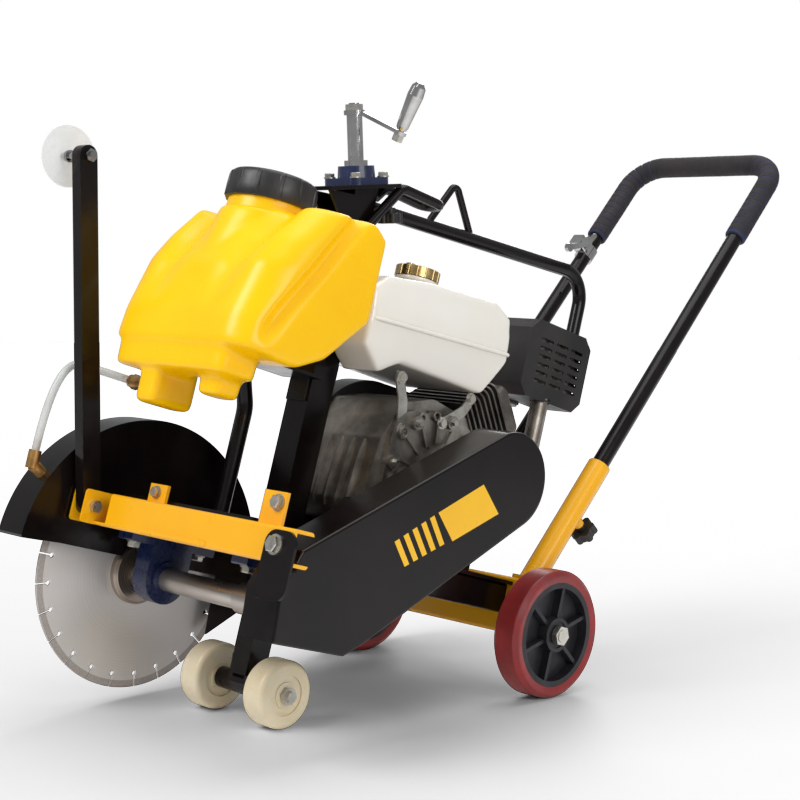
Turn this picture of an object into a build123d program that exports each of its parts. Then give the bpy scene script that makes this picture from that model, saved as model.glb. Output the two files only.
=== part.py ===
from build123d import *
import math
import os

# Walk-behind concrete saw. Every piece is drawn on the level chassis: x forward, y to the left,
# z up, with the rear axle's centre at zero. At the end the whole machine is pitched nose-up on
# its wheels, as it stands when the jack leg holds the blade clear of the ground.

# ---------------------------------------------------------------- driving dimensions (mm)
PITCH = 16.0                 # nose-up angle of the chassis, degrees
WHEEL_R = 100.0              # 200 mm rear wheels
WHEEL_W = 49.5
WHEEL_Y = 211.0
AXLE_R = 10.0
ROLLER_R = 50.0              # 100 mm front rollers
ROLLER_W = 42.0
ROLLER_Y = 73.0
ROLLER_AXLE_R = 8.0
LEG_X = 405.0
LEG_Z = -168.0               # front axle height with the leg extended
BLADE_R = 177.5              # 14 inch diamond blade
BLADE_Y = -206.0
BLADE_T = 3.2
SPINDLE_X = 491.0
SPINDLE_Z = -45.0
SPINDLE_R = 17.5
ARBOR_R = 12.7               # 25.4 mm blade arbor
CRANK_X = 208.0              # engine crankshaft
CRANK_Z = 207.0
PULLEY_R = 38.0
GROOVE_DEPTH = 8.5
FIT = 0.05                   # running fit of a shaft in its bearing
GAP = 0.3                    # gap between moving curved faces

BEAM_HALF = 178.0            # rear axle beam, half length
BEAM_Z = (-14.0, 74.0)
RAIL_Z = (15.0, 61.0)
DECK_T = 6.0
CROSS_X = (597.0, 632.0)     # front crossbeam, rear and front faces
CROSS_Y = (-178.0, 285.0)
CROSS_Z = (12.0, 61.0)
MAST_HALF = 23.0
MAST_Z = (-28.0, 600.0)
LEG_HALF = 18.5
POST_X = 636.0
POST_Z = 38.0
POST_LEAN = 17.0
POST_LENGTH = 507.0
SOCKET_Y = 158.0             # handle sockets
SOCKET_LEAN = 28.0
SOCKET_FOOT = (-5.0, 81.0)
HANDLE_R = 14.0
GRIP_R = 19.5
HANDLE_REACH = 962.0         # along the socket axis, to the grip's centre line
BELT_Y = (194.0, 262.0)      # belt guard, back and outer faces
GUARD_Y = (-242.0, -182.0)   # blade guard, outer and inner faces
GUARD_X = 502.0
GUARD_Z = -32.0
GUARD_R = 221.0
TANK_Y = (-146.0, 168.0)

pieces = {}


def keep(name, builder):
    """Store a finished piece under its node name."""
    pieces[name] = builder.part


def side(y):
    """Sketch plane at that y with local axes chassis x and z; extrusions run towards -y."""
    return Plane.XZ.offset(-y)


def front(x):
    """Sketch plane at that x with local axes chassis y and z; extrusions run forwards."""
    return Plane.YZ.offset(x)


def top(z):
    """Sketch plane at that height with local axes chassis x and y; extrusions run up."""
    return Plane.XY.offset(z)


def across(x, z, y_from, y_to, radius, bore=0.0):
    """Round bar or bush lying across the machine."""
    with BuildPart() as bar:
        with BuildSketch(side(y_to)):
            with Locations((x, z)):
                Circle(radius)
                if bore:
                    Circle(bore, mode=Mode.SUBTRACT)
        extrude(amount=y_to - y_from)
    return bar.part


def upright(x, y, z_from, z_to, radius, bore=0.0):
    """Round bar or bush standing on the chassis."""
    with BuildPart() as bar:
        with BuildSketch(top(z_from)):
            with Locations((x, y)):
                Circle(radius)
                if bore:
                    Circle(bore, mode=Mode.SUBTRACT)
        extrude(amount=z_to - z_from)
    return bar.part


def block(x, y, z):
    """Rectangular block between two values along each axis."""
    with BuildPart() as solid:
        with BuildSketch(top(z[0])):
            with Locations(((x[0] + x[1]) / 2, (y[0] + y[1]) / 2)):
                Rectangle(x[1] - x[0], y[1] - y[0])
        extrude(amount=z[1] - z[0])
    return solid.part


def hex_bolt(plane, size, head, shank=0.0):
    """Hexagon head with washer, and a shank behind it, along the plane's normal."""
    with BuildPart() as bolt:
        with BuildSketch(plane):
            Circle(size * 1.15)
        extrude(amount=size * 0.25)
        with BuildSketch(plane.offset(size * 0.25)):
            RegularPolygon(size * 0.98, 6)
        extrude(amount=head)
        chamfer(bolt.faces().sort_by(Axis(plane.origin, plane.z_dir))[-1].edges(), size * 0.12)
        if shank:
            with BuildSketch(plane):
                Circle(size / 2)
            extrude(amount=-shank)
    return bolt.part


def group(name, solids):
    """Several separate solids that share one node."""
    pieces[name] = Compound(children=list(solids))


def star_knob(plane, radius, height):
    """Lobed clamping knob on a short screw, growing along the plane's normal."""
    with BuildPart() as knob:
        with BuildSketch(plane):
            Circle(radius * 0.42)
        extrude(amount=height * 0.35)
        with BuildSketch(plane.offset(height * 0.35)):
            Circle(radius * 0.8)
            with PolarLocations(radius * 0.74, 6):
                Circle(radius * 0.26)
        extrude(amount=height * 0.65)
        fillet(knob.faces().sort_by(Axis(plane.origin, plane.z_dir))[-1].edges(), radius * 0.08)
    return knob.part


# ---------------------------------------------------------------- rear axle beam and axle
with BuildPart() as axle_beam:
    with BuildSketch(side(BEAM_HALF)):
        with Locations((0, (BEAM_Z[0] + BEAM_Z[1]) / 2)):
            RectangleRounded(60, BEAM_Z[1] - BEAM_Z[0], 5)
            Rectangle(54, BEAM_Z[1] - BEAM_Z[0] - 6, mode=Mode.SUBTRACT)
    extrude(amount=2 * BEAM_HALF)
    for y in (BEAM_HALF, -BEAM_HALF + 5):
        with BuildSketch(side(y)):
            with Locations((0, (BEAM_Z[0] + BEAM_Z[1]) / 2)):
                Rectangle(56, BEAM_Z[1] - BEAM_Z[0] - 4)
        extrude(amount=5)
    with BuildSketch(side(BEAM_HALF)):
        Circle(12.5)
    extrude(amount=2 * BEAM_HALF)
    with BuildSketch(side(BEAM_HALF)):
        Circle(AXLE_R)
    extrude(amount=2 * BEAM_HALF, mode=Mode.SUBTRACT)
keep("rear_axle_beam", axle_beam)

with BuildPart() as rear_axle:
    with BuildSketch(side(WHEEL_Y + 36)):
        Circle(AXLE_R)
    extrude(amount=2 * (WHEEL_Y + 36))
    for end in (-1, 1):
        collar = BEAM_HALF + (WHEEL_Y - WHEEL_W / 2 - GAP - BEAM_HALF)
        with BuildSketch(side(collar if end > 0 else -BEAM_HALF)):
            Circle(16)
        extrude(amount=collar - BEAM_HALF)
        nut = WHEEL_Y + WHEEL_W / 2 + GAP
        with BuildSketch(side(nut + 9.5 if end > 0 else -nut)):
            RegularPolygon(16, 6)
        extrude(amount=9.5)
keep("rear_axle", rear_axle)


# ---------------------------------------------------------------- rear wheels
def wheel_tyre(y):
    """Polyurethane tyre with rounded shoulders."""
    half = WHEEL_W / 2
    with BuildPart() as tyre:
        with BuildSketch(Plane.XY) as section:
            with BuildLine():
                Polyline((82, y - half + 2), (82, y + half - 2), (90, y + half), (WHEEL_R - 7, y + half))
                Line((WHEEL_R - 7, y + half), (WHEEL_R, y + half - 7))
                Line((WHEEL_R, y + half - 7), (WHEEL_R, y - half + 7))
                Line((WHEEL_R, y - half + 7), (WHEEL_R - 7, y - half))
                Polyline((WHEEL_R - 7, y - half), (90, y - half), (82, y - half + 2))
            make_face()
        revolve(axis=Axis.Y)
        fillet(tyre.edges().filter_by(GeomType.CIRCLE).group_by(SortBy.RADIUS)[-1], 3)
    return tyre


def wheel_hub(y):
    """Cast hub: rim, web, six ribs on each side and a bearing boss."""
    half = WHEEL_W / 2
    with BuildPart() as hub:
        with BuildSketch(side(y + half - 2)):
            Circle(82)
            Circle(73, mode=Mode.SUBTRACT)
        extrude(amount=WHEEL_W - 4)
        with BuildSketch(side(y + 5)):
            Circle(74)
        extrude(amount=10)
        with BuildSketch(side(y + half)):
            Circle(27)
        extrude(amount=WHEEL_W)
        with BuildSketch(side(y + half - 6)):
            with PolarLocations(50, 6, start_angle=30):
                Rectangle(50, 6)
        extrude(amount=WHEEL_W - 12)
        with BuildSketch(side(y + half)):
            Circle(21)
            Circle(15, mode=Mode.SUBTRACT)
        extrude(amount=2, mode=Mode.SUBTRACT)
        with BuildSketch(side(y + half)):
            Circle(AXLE_R + FIT)
        extrude(amount=WHEEL_W, mode=Mode.SUBTRACT)
    return hub


for tag, y in (("left", WHEEL_Y), ("right", -WHEEL_Y)):
    keep("wheel_tyre_" + tag, wheel_tyre(y))
    keep("wheel_hub_" + tag, wheel_hub(y))

# ---------------------------------------------------------------- frame: rails, deck, crossbeam
RAILS = ((100.0, 140.0), (-165.0, -125.0))
rail_solids = []
for low, high in RAILS:
    with BuildPart() as rail:
        with BuildSketch(front(30)):
            with Locations(((low + high) / 2, (RAIL_Z[0] + RAIL_Z[1]) / 2)):
                RectangleRounded(high - low, RAIL_Z[1] - RAIL_Z[0], 4)
                Rectangle(high - low - 6, RAIL_Z[1] - RAIL_Z[0] - 6, mode=Mode.SUBTRACT)
        extrude(amount=CROSS_X[0] - 30)
    rail_solids.append(rail.part)

DECK_TOP = RAIL_Z[1] + DECK_T
with BuildPart() as deck:
    with BuildSketch(top(RAIL_Z[1])):
        with Locations((310, -7.5)):
            Rectangle(560, 315)
        with Locations((LEG_X, 0)):
            Rectangle(2 * MAST_HALF, 2 * MAST_HALF, mode=Mode.SUBTRACT)
        with Locations((230, 30)):
            with GridLocations(190, 150, 2, 2):
                SlotOverall(44, 11, mode=Mode.SUBTRACT)
    extrude(amount=DECK_T)

with BuildPart() as crossbeam:
    mid_x = (CROSS_X[0] + CROSS_X[1]) / 2
    mid_z = (CROSS_Z[0] + CROSS_Z[1]) / 2
    with BuildSketch(side(CROSS_Y[1])):
        with Locations((mid_x, mid_z)):
            RectangleRounded(CROSS_X[1] - CROSS_X[0], CROSS_Z[1] - CROSS_Z[0], 5)
        with Locations((mid_x - 5, mid_z)):
            Rectangle(CROSS_X[1] - CROSS_X[0], CROSS_Z[1] - CROSS_Z[0] - 10, mode=Mode.SUBTRACT)
    extrude(amount=CROSS_Y[1] - CROSS_Y[0])
    # pocket at the right-hand end for the pointer's post: the web and top flange are cut away
    with BuildSketch(front(CROSS_X[0])):
        with Locations(((CROSS_Y[0] - 118) / 2, mid_z + 5)):
            Rectangle(-118 - CROSS_Y[0], CROSS_Z[1] - CROSS_Z[0])
    extrude(amount=CROSS_X[1] - CROSS_X[0] + 1, mode=Mode.SUBTRACT)
    for ear_y in (CROSS_Y[0] + 4, -147.0):
        with BuildSketch(side(ear_y)):
            with Locations((mid_x + 11, mid_z)):
                RectangleRounded(CROSS_X[1] - CROSS_X[0] + 22, CROSS_Z[1] - CROSS_Z[0], 5)
            with Locations((POST_X, POST_Z)):
                Circle(6 + FIT, mode=Mode.SUBTRACT)
        extrude(amount=4)
    # long low swage along the web and two welded tabs behind the top flange
    with BuildSketch(front(CROSS_X[1])):
        with Locations((40, 18)):
            SlotOverall(150, 7)
    extrude(amount=1.2)
    for low, high, rise in ((176, 222, 46), (-72, -32, 27)):
        with BuildSketch(front(CROSS_X[0])):
            with Locations(((low + high) / 2, CROSS_Z[1] + rise / 2 - 1)):
                Rectangle(high - low, rise + 2)
        extrude(amount=5)
keep("front_crossbeam", crossbeam)

# ---------------------------------------------------------------- spindle and blade
BLOCK_Y = (120.0, -145.0)
pillow_solids = []
for y in BLOCK_Y:
    with BuildPart() as pillow:
        with BuildSketch(side(y + 17)):
            with Locations((SPINDLE_X, RAIL_Z[0] - 7)):
                RectangleRounded(160, 14, 3)
            with Locations((SPINDLE_X, SPINDLE_Z)):
                Circle(38)
            with Locations((SPINDLE_X, -15)):
                Rectangle(76, 46)
        extrude(amount=34)
        with BuildSketch(side(y + 21)):
            with Locations((SPINDLE_X, SPINDLE_Z)):
                Circle(27)
        extrude(amount=42)
        with BuildSketch(side(y + 21)):
            with Locations((SPINDLE_X, SPINDLE_Z)):
                Circle(SPINDLE_R + FIT)
        extrude(amount=42, mode=Mode.SUBTRACT)
        with BuildSketch(top(-10)):
            with Locations((SPINDLE_X - 62, y), (SPINDLE_X + 62, y)):
                Circle(6)
        extrude(amount=40, mode=Mode.SUBTRACT)
    pillow_solids.append(pillow.part)
group("pillow_blocks", pillow_solids)

FLANGE_R = 48.0
FLANGE_T = 13.0
SHOULDER_Y = BLADE_Y + BLADE_T / 2 + FLANGE_T      # inner flange's back face
THREAD_END = BLADE_Y - BLADE_T / 2 - FLANGE_T - 24
NUT_END = THREAD_END + 10        # outer face of the blade nut
PILOT_R = 9.0                    # plain pilot beyond the thread
with BuildPart() as spindle:
    with BuildSketch(side(BELT_Y[1] - 8)):
        with Locations((SPINDLE_X, SPINDLE_Z)):
            Circle(12)
    extrude(amount=BELT_Y[1] - 8 - 182)
    with BuildSketch(side(182)):
        with Locations((SPINDLE_X, SPINDLE_Z)):
            Circle(SPINDLE_R)
    extrude(amount=182 - SHOULDER_Y)
    with BuildSketch(side(SHOULDER_Y)):
        with Locations((SPINDLE_X, SPINDLE_Z)):
            Circle(ARBOR_R)
    extrude(amount=SHOULDER_Y - NUT_END)
    with BuildSketch(side(NUT_END)):
        with Locations((SPINDLE_X, SPINDLE_Z)):
            Circle(PILOT_R)
    extrude(amount=NUT_END - THREAD_END)
    # bright collar between the bearings
    with BuildSketch(side(84)):
        with Locations((SPINDLE_X, SPINDLE_Z)):
            Circle(SPINDLE_R + 5)
    extrude(amount=84 - 52)
    chamfer(spindle.edges().filter_by(GeomType.CIRCLE).sort_by(Axis.Y)[0], 1.5)
keep("spindle_shaft", spindle)

flange_solids = []
for start, tip in ((SHOULDER_Y, -1), (BLADE_Y - BLADE_T / 2, 1)):
    with BuildPart() as flange:
        with BuildSketch(side(start)):
            with Locations((SPINDLE_X, SPINDLE_Z)):
                Circle(FLANGE_R)
                Circle(ARBOR_R, mode=Mode.SUBTRACT)
        extrude(amount=FLANGE_T)
        outer = flange.edges().filter_by(GeomType.CIRCLE).group_by(SortBy.RADIUS)[-1]
        chamfer(outer.sort_by(Axis.Y)[-1 if tip < 0 else 0], 5)
    flange_solids.append(flange.part)

with BuildPart() as arbor_nut:
    with BuildSketch(side(BLADE_Y - BLADE_T / 2 - FLANGE_T)):
        with Locations((SPINDLE_X, SPINDLE_Z)):
            RegularPolygon(21, 6)
            Circle(ARBOR_R, mode=Mode.SUBTRACT)
    extrude(amount=13)
group("blade_clamp", flange_solids + [arbor_nut.part])

SEGMENTS = 24
with BuildPart() as blade:
    with BuildSketch(side(BLADE_Y + BLADE_T / 2)):
        with Locations((SPINDLE_X, SPINDLE_Z)):
            Circle(BLADE_R)
            Circle(ARBOR_R, mode=Mode.SUBTRACT)
            with PolarLocations(BLADE_R - 9, SEGMENTS):
                Rectangle(20, 3, mode=Mode.SUBTRACT)
            with PolarLocations(BLADE_R - 20, SEGMENTS):
                Circle(4, mode=Mode.SUBTRACT)
    extrude(amount=BLADE_T)
keep("saw_blade", blade)


def v_pulley(x, z, bore, y_from, y_to):
    """Three-groove pulley as one turned profile."""
    pitch = (y_to - y_from) / 3
    rim = PULLEY_R
    root = PULLEY_R - GROOVE_DEPTH
    points = [(bore, y_from), (rim, y_from)]
    for turn in range(3):
        start = y_from + turn * pitch
        points += [(rim, start + 2), (root, start + 5), (root, start + pitch - 5), (rim, start + pitch - 2)]
    points += [(rim, y_to), (bore, y_to)]
    with BuildPart() as pulley:
        with BuildSketch(Plane.XY.offset(z)):
            with BuildLine():
                Polyline(*[(x + r, y) for r, y in points], close=True)
            make_face()
        revolve(axis=Axis((x, 0, z), (0, 1, 0)))
    return pulley


PULLEY_Y = (204.0, 252.0)
keep("driven_pulley", v_pulley(SPINDLE_X, SPINDLE_Z, 12.0, *PULLEY_Y))
keep("drive_pulley", v_pulley(CRANK_X, CRANK_Z, 12.7, *PULLEY_Y))

belt_solids = []
belt_pitch = (PULLEY_Y[1] - PULLEY_Y[0]) / 3
for turn in range(3):
    y = PULLEY_Y[0] + (turn + 0.5) * belt_pitch
    with BuildPart() as belt:
        with BuildSketch(side(y + 2.6)) as loop:
            with BuildLine():
                CenterArc((SPINDLE_X, SPINDLE_Z), PULLEY_R - 0.5, 0, 360)
                CenterArc((CRANK_X, CRANK_Z), PULLEY_R - 0.5, 0, 360)
            make_hull()
            offset(loop.sketch, amount=-(GROOVE_DEPTH - 0.5 - GAP), mode=Mode.SUBTRACT)
        extrude(amount=5.2)
    belt_solids.append(belt.part)
group("v_belts", belt_solids)


# ---------------------------------------------------------------- belt guard
def belt_outline(inset=0.0):
    """Teardrop round both pulleys, with a blunt nose at the front."""
    with BuildSketch(Plane.XY) as outline:
        with BuildLine():
            Polyline((590, 36), (612, -20), (606, -89), (475, -89), (449, -73), close=True)
            CenterArc((CRANK_X, CRANK_Z), 72.5, 0, 360)
        make_hull()
        with Locations((CROSS_X[0] + 49.5, 60.5)):
            Rectangle(100, 101, mode=Mode.SUBTRACT)
    shape = outline.sketch
    if inset:
        shape = offset(shape, amount=-inset)
    return shape


with BuildPart() as guard_shell:
    with BuildSketch(side(BELT_Y[1])):
        add(belt_outline())
    extrude(amount=BELT_Y[1] - BELT_Y[0])
    outer_face = guard_shell.faces().sort_by(Axis.Y)[-1]
    fillet(outer_face.edges(), 4)
    with BuildSketch(side(BELT_Y[1] - 2.5)):
        add(belt_outline(2.5))
    extrude(amount=BELT_Y[1] - BELT_Y[0] - 5, mode=Mode.SUBTRACT)
    with BuildSketch(side(BELT_Y[0] + 3)):
        with Locations((SPINDLE_X, SPINDLE_Z), (CRANK_X, CRANK_Z)):
            Circle(24)
    extrude(amount=4, mode=Mode.SUBTRACT)
    # bracket that carries the guard on the crossbeam's end
    with BuildSketch(front(CROSS_X[1])):
        with Locations((266, 10)):
            RectangleRounded(60, 92, 20)
    extrude(amount=4)
    with BuildSketch(side(244)):
        with Locations((622, -16)):
            Rectangle(28, 40)
    extrude(amount=5)
keep("belt_guard", guard_shell)

# ---------------------------------------------------------------- blade guard
with BuildPart() as blade_guard:
    for inset, mode in ((0.0, Mode.ADD), (3.0, Mode.SUBTRACT)):
        with BuildSketch(side(GUARD_Y[1] - inset)):
            with BuildLine():
                low = GUARD_Z + 7
                reach = GUARD_R - inset
                drop = math.sqrt(reach ** 2 - 7 ** 2)
                ThreePointArc((GUARD_X - drop, low), (GUARD_X, GUARD_Z + reach), (GUARD_X + drop, low))
                if inset:
                    Polyline((GUARD_X + drop, low), (GUARD_X + drop, low - 160),
                             (GUARD_X - drop, low - 160), (GUARD_X - drop, low))
                else:
                    Polyline((GUARD_X + drop, low), (GUARD_X + drop - 2, low - 3),
                             (GUARD_X + drop - 70, low), (352, low), (346, -118),
                             (GUARD_X - drop, -66), (GUARD_X - drop, low))
            make_face()
        extrude(amount=GUARD_Y[1] - GUARD_Y[0] - 2 * inset, mode=mode)
    # slot that lets the guard drop over the spindle
    with BuildSketch(side(GUARD_Y[1] + 1)):
        with Locations((SPINDLE_X, SPINDLE_Z)):
            Circle(FLANGE_R + 6)
    extrude(amount=5, mode=Mode.SUBTRACT)
    # rim bead and the two lugs on its inner face
    for lug_x in (430, 560):
        with BuildSketch(side(GUARD_Y[1] + 16)):
            with Locations((lug_x, 40)):
                RectangleRounded(40, 40, 8)
        extrude(amount=16)
keep("blade_guard", blade_guard)

# ---------------------------------------------------------------- mast, jack leg, crank
# the crank stands forward of the mast's own line, square to a tilted top plate
COLUMN_TILT = math.radians(20)
COLUMN = (math.sin(COLUMN_TILT), 0.0, math.cos(COLUMN_TILT))
COLUMN_FOOT = (402.0, -4.0, 598.0)
HEAD = Plane(COLUMN_FOOT, x_dir=(math.cos(COLUMN_TILT), 0, -math.sin(COLUMN_TILT)), z_dir=COLUMN)
with BuildPart() as mast:
    with BuildSketch(top(MAST_Z[0])):
        with Locations((LEG_X, 0)):
            Rectangle(2 * MAST_HALF, 2 * MAST_HALF)
            Rectangle(2 * LEG_HALF + 1, 2 * LEG_HALF + 1, mode=Mode.SUBTRACT)
    extrude(amount=MAST_Z[1] + 30 - MAST_Z[0])
    with BuildSketch(HEAD):
        Rectangle(300, 300)
    extrude(amount=80, mode=Mode.SUBTRACT)
    with BuildSketch(HEAD):
        with Locations((26, 4)):
            RectangleRounded(150, 96, 6)
        Circle(14, mode=Mode.SUBTRACT)
    extrude(amount=6)
    for gusset_y in (-MAST_HALF, MAST_HALF - 5):
        with BuildSketch(side(gusset_y + 5)):
            with BuildLine():
                Polyline((426, 580), (478, 572), (426, 520), close=True)
            make_face()
        extrude(amount=5)
keep("guide_mast", mast)

with BuildPart() as leg:
    with BuildSketch(top(LEG_Z + 12)):
        with Locations((LEG_X, 0)):
            Rectangle(2 * LEG_HALF, 2 * LEG_HALF)
            Rectangle(2 * LEG_HALF - 8, 2 * LEG_HALF - 8, mode=Mode.SUBTRACT)
    extrude(amount=330 - LEG_Z - 12)
    with BuildSketch(top(300)):
        with Locations((LEG_X, 0)):
            Rectangle(2 * LEG_HALF - 4, 2 * LEG_HALF - 4)
            Circle(10 + FIT + 0.02, mode=Mode.SUBTRACT)
    extrude(amount=30)
    with BuildSketch(top(LEG_Z + 12)):
        with Locations((LEG_X, 0)):
            Rectangle(2 * LEG_HALF, 2 * LEG_HALF)
    extrude(amount=8)
    with BuildSketch(side(51)):
        with Locations((LEG_X, LEG_Z)):
            Circle(16)
    extrude(amount=102)
    for rib_y in (20, -14):
        with BuildSketch(side(rib_y)):
            with BuildLine():
                Polyline((LEG_X + 14, LEG_Z), (LEG_X + LEG_HALF, LEG_Z + 40), (LEG_X - LEG_HALF, LEG_Z + 40),
                         (LEG_X - 14, LEG_Z), close=True)
            make_face()
        extrude(amount=6)
    with BuildSketch(side(51)):
        with Locations((LEG_X, LEG_Z)):
            Circle(ROLLER_AXLE_R)
    extrude(amount=102, mode=Mode.SUBTRACT)
keep("jack_leg", leg)

ROLLER_END = ROLLER_Y + ROLLER_W / 2
with BuildPart() as roller_axle:
    with BuildSketch(side(ROLLER_END + 14)):
        with Locations((LEG_X, LEG_Z)):
            Circle(ROLLER_AXLE_R)
    extrude(amount=2 * (ROLLER_END + 14))
    for start in (ROLLER_END + GAP + 8, -ROLLER_END - GAP):
        with BuildSketch(side(start)):
            with Locations((LEG_X, LEG_Z)):
                RegularPolygon(13.5, 6)
        extrude(amount=8)
keep("roller_axle", roller_axle)

for tag, y in (("left", ROLLER_Y), ("right", -ROLLER_Y)):
    half = ROLLER_W / 2
    with BuildPart() as roller:
        with BuildSketch(side(y + half)):
            with Locations((LEG_X, LEG_Z)):
                Circle(ROLLER_R)
                Circle(ROLLER_AXLE_R + FIT, mode=Mode.SUBTRACT)
        extrude(amount=ROLLER_W)
        fillet(roller.edges().filter_by(GeomType.CIRCLE).group_by(SortBy.RADIUS)[-1], 8)
        for face_y, depth in ((y + half, 3.0), (y - half + 3.0, 3.0)):
            with BuildSketch(side(face_y)):
                with Locations((LEG_X, LEG_Z)):
                    Circle(30)
                    Circle(19, mode=Mode.SUBTRACT)
            extrude(amount=depth, mode=Mode.SUBTRACT)
    keep("roller_" + tag, roller)

with BuildPart() as bearing:
    with BuildSketch(HEAD.offset(6)):
        RectangleRounded(78, 78, 16)
    extrude(amount=11)
    with BuildSketch(HEAD.offset(17)):
        Circle(29)
    extrude(amount=18, taper=4)
    with BuildSketch(HEAD.offset(6)):
        Circle(12 + FIT)
    extrude(amount=30, mode=Mode.SUBTRACT)
keep("crank_bearing", bearing)

# the jack screw stands in the mast below; a universal joint between the two is left out
SCREW_TOP = 560.0
with BuildPart() as screw:
    with BuildSketch(top(125)):
        with Locations((LEG_X, 0)):
            Circle(10)
    extrude(amount=SCREW_TOP - 125)
    with BuildSketch(top(SCREW_TOP - 14)):
        with Locations((LEG_X, 0)):
            Circle(14)
    extrude(amount=14)
keep("jack_screw", screw)

COLUMN_TOP = 112.0
with BuildPart() as column:
    with BuildSketch(HEAD.offset(-8)):
        Circle(12)
    extrude(amount=COLUMN_TOP + 8)
    with BuildSketch(HEAD.offset(35 + GAP)):
        Circle(18)
    extrude(amount=8)
    with BuildSketch(HEAD.offset(COLUMN_TOP)):
        Circle(8)
    extrude(amount=18)
keep("crank_column", column)

# crank arm: falls away from the column's head, with the grip square to it
ARM_TURN = math.radians(110)
ARM_DROP = math.radians(27)
ARM_LENGTH = 84.0
NECK = HEAD.offset(COLUMN_TOP)
REACH = NECK.x_dir * math.cos(ARM_TURN) + NECK.y_dir * math.sin(ARM_TURN)
ARM_LINE = REACH * math.cos(ARM_DROP) - NECK.z_dir * math.sin(ARM_DROP)
GRIP_LINE = REACH * math.sin(ARM_DROP) + NECK.z_dir * math.cos(ARM_DROP)
ARM_ROOT = NECK.origin + NECK.z_dir * 3.5 + REACH * 12
ARM_END = ARM_ROOT + ARM_LINE * (ARM_LENGTH - 12)
ARM_PLANE = Plane(ARM_END, x_dir=ARM_LINE, z_dir=GRIP_LINE)
with BuildPart() as crank_arm:
    with BuildSketch(NECK):
        Circle(16)
        Circle(8, mode=Mode.SUBTRACT)
    extrude(amount=7)
    with BuildSketch(ARM_PLANE.offset(-3)):
        with Locations((-(ARM_LENGTH - 12) / 2 + 2, 0)):
            Rectangle(ARM_LENGTH - 16, 15)
        Circle(10)
        Circle(5, mode=Mode.SUBTRACT)
    extrude(amount=6)
    with BuildSketch(NECK):
        Circle(8)
    extrude(amount=30, mode=Mode.SUBTRACT)
    with BuildSketch(NECK):
        Circle(13)
    extrude(amount=-30, mode=Mode.SUBTRACT)
keep("crank_arm", crank_arm)

nut_solids = []
with BuildPart() as top_nut:
    with BuildSketch(NECK.offset(7)):
        RegularPolygon(14, 6)
        Circle(8, mode=Mode.SUBTRACT)
    extrude(amount=9)
nut_solids.append(top_nut.part)
with BuildPart() as grip_bolt:
    with BuildSketch(ARM_PLANE.offset(-14)):
        RegularPolygon(9, 6)
    extrude(amount=11)
    with BuildSketch(ARM_PLANE.offset(-3)):
        Circle(5)
    extrude(amount=74)
nut_solids.append(grip_bolt.part)
group("crank_fasteners", nut_solids)

with BuildPart() as crank_grip:
    with BuildSketch(Plane(ARM_END, x_dir=ARM_LINE, z_dir=ARM_LINE.cross(GRIP_LINE))):
        with BuildLine():
            Polyline((5.3, 4), (8, 4), (9.5, 10), (12.5, 60), (11, 74), (6, 80), (0, 80), (0, 72), (5.3, 72),
                     close=True)
        make_face()
    revolve(axis=Axis(ARM_END, GRIP_LINE))
keep("crank_grip", crank_grip)

# ---------------------------------------------------------------- line pointer
LEAN = math.radians(POST_LEAN)
POST_TOP = (POST_X + POST_LENGTH * math.sin(LEAN), POST_Z + POST_LENGTH * math.cos(LEAN))
POST_PLANE = Plane((POST_X, -152.5, POST_Z), x_dir=(math.cos(LEAN), 0, -math.sin(LEAN)), z_dir=(0, -1, 0))
with BuildPart() as post:
    with BuildSketch(POST_PLANE):
        with Locations((0, POST_LENGTH / 2)):
            SlotOverall(POST_LENGTH + 30, 30, rotation=90)
    extrude(amount=20)
    with BuildSketch(POST_PLANE):
        Circle(6 + FIT)
        with Locations((0, POST_LENGTH)):
            Circle(6 + FIT)
    extrude(amount=20, mode=Mode.SUBTRACT)
keep("pointer_post", post)

with BuildPart() as pivot:
    with BuildSketch(side(-140)):
        with Locations((POST_X, POST_Z)):
            RegularPolygon(9.5, 6)
    extrude(amount=7)
    with BuildSketch(side(-140)):
        with Locations((POST_X, POST_Z)):
            Circle(6)
    extrude(amount=38)

DISC_Y = BLADE_Y
with BuildPart() as pointer_rod:
    with BuildSketch(side(-140)):
        with Locations(POST_TOP):
            Circle(6)
    extrude(amount=-140 - DISC_Y + 10)
    for start, depth in ((-144, 8.5), (-172.5, 9)):
        with BuildSketch(side(start)):
            with Locations(POST_TOP):
                RegularPolygon(10, 6)
        extrude(amount=depth)
    with BuildSketch(side(DISC_Y + 8)):
        with Locations(POST_TOP):
            Circle(9)
    extrude(amount=5)
keep("pointer_rod", pointer_rod)

with BuildPart() as disc:
    with BuildSketch(side(DISC_Y + 3 - GAP)):
        with Locations(POST_TOP):
            Circle(45)
            Circle(6 + FIT, mode=Mode.SUBTRACT)
    extrude(amount=2.5)
    with BuildSketch(side(DISC_Y + 3 - GAP)):
        with Locations(POST_TOP):
            Circle(13)
            Circle(6 + FIT, mode=Mode.SUBTRACT)
    extrude(amount=7)
keep("pointer_disc", disc)

# ---------------------------------------------------------------- engine
BASE_Z = DECK_TOP + 29
skid_solids = []
for y in (-52.0, 92.0):
    with BuildPart() as skid:
        with BuildSketch(front(96)):
            with Locations((y, DECK_TOP + 14.5)):
                Rectangle(38, 29)
                with Locations((0, -3)):
                    Rectangle(30, 29, mode=Mode.SUBTRACT)
        extrude(amount=250)
    skid_solids.append(skid.part)
group("chassis_frame", rail_solids + [deck.part] + skid_solids)

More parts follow.
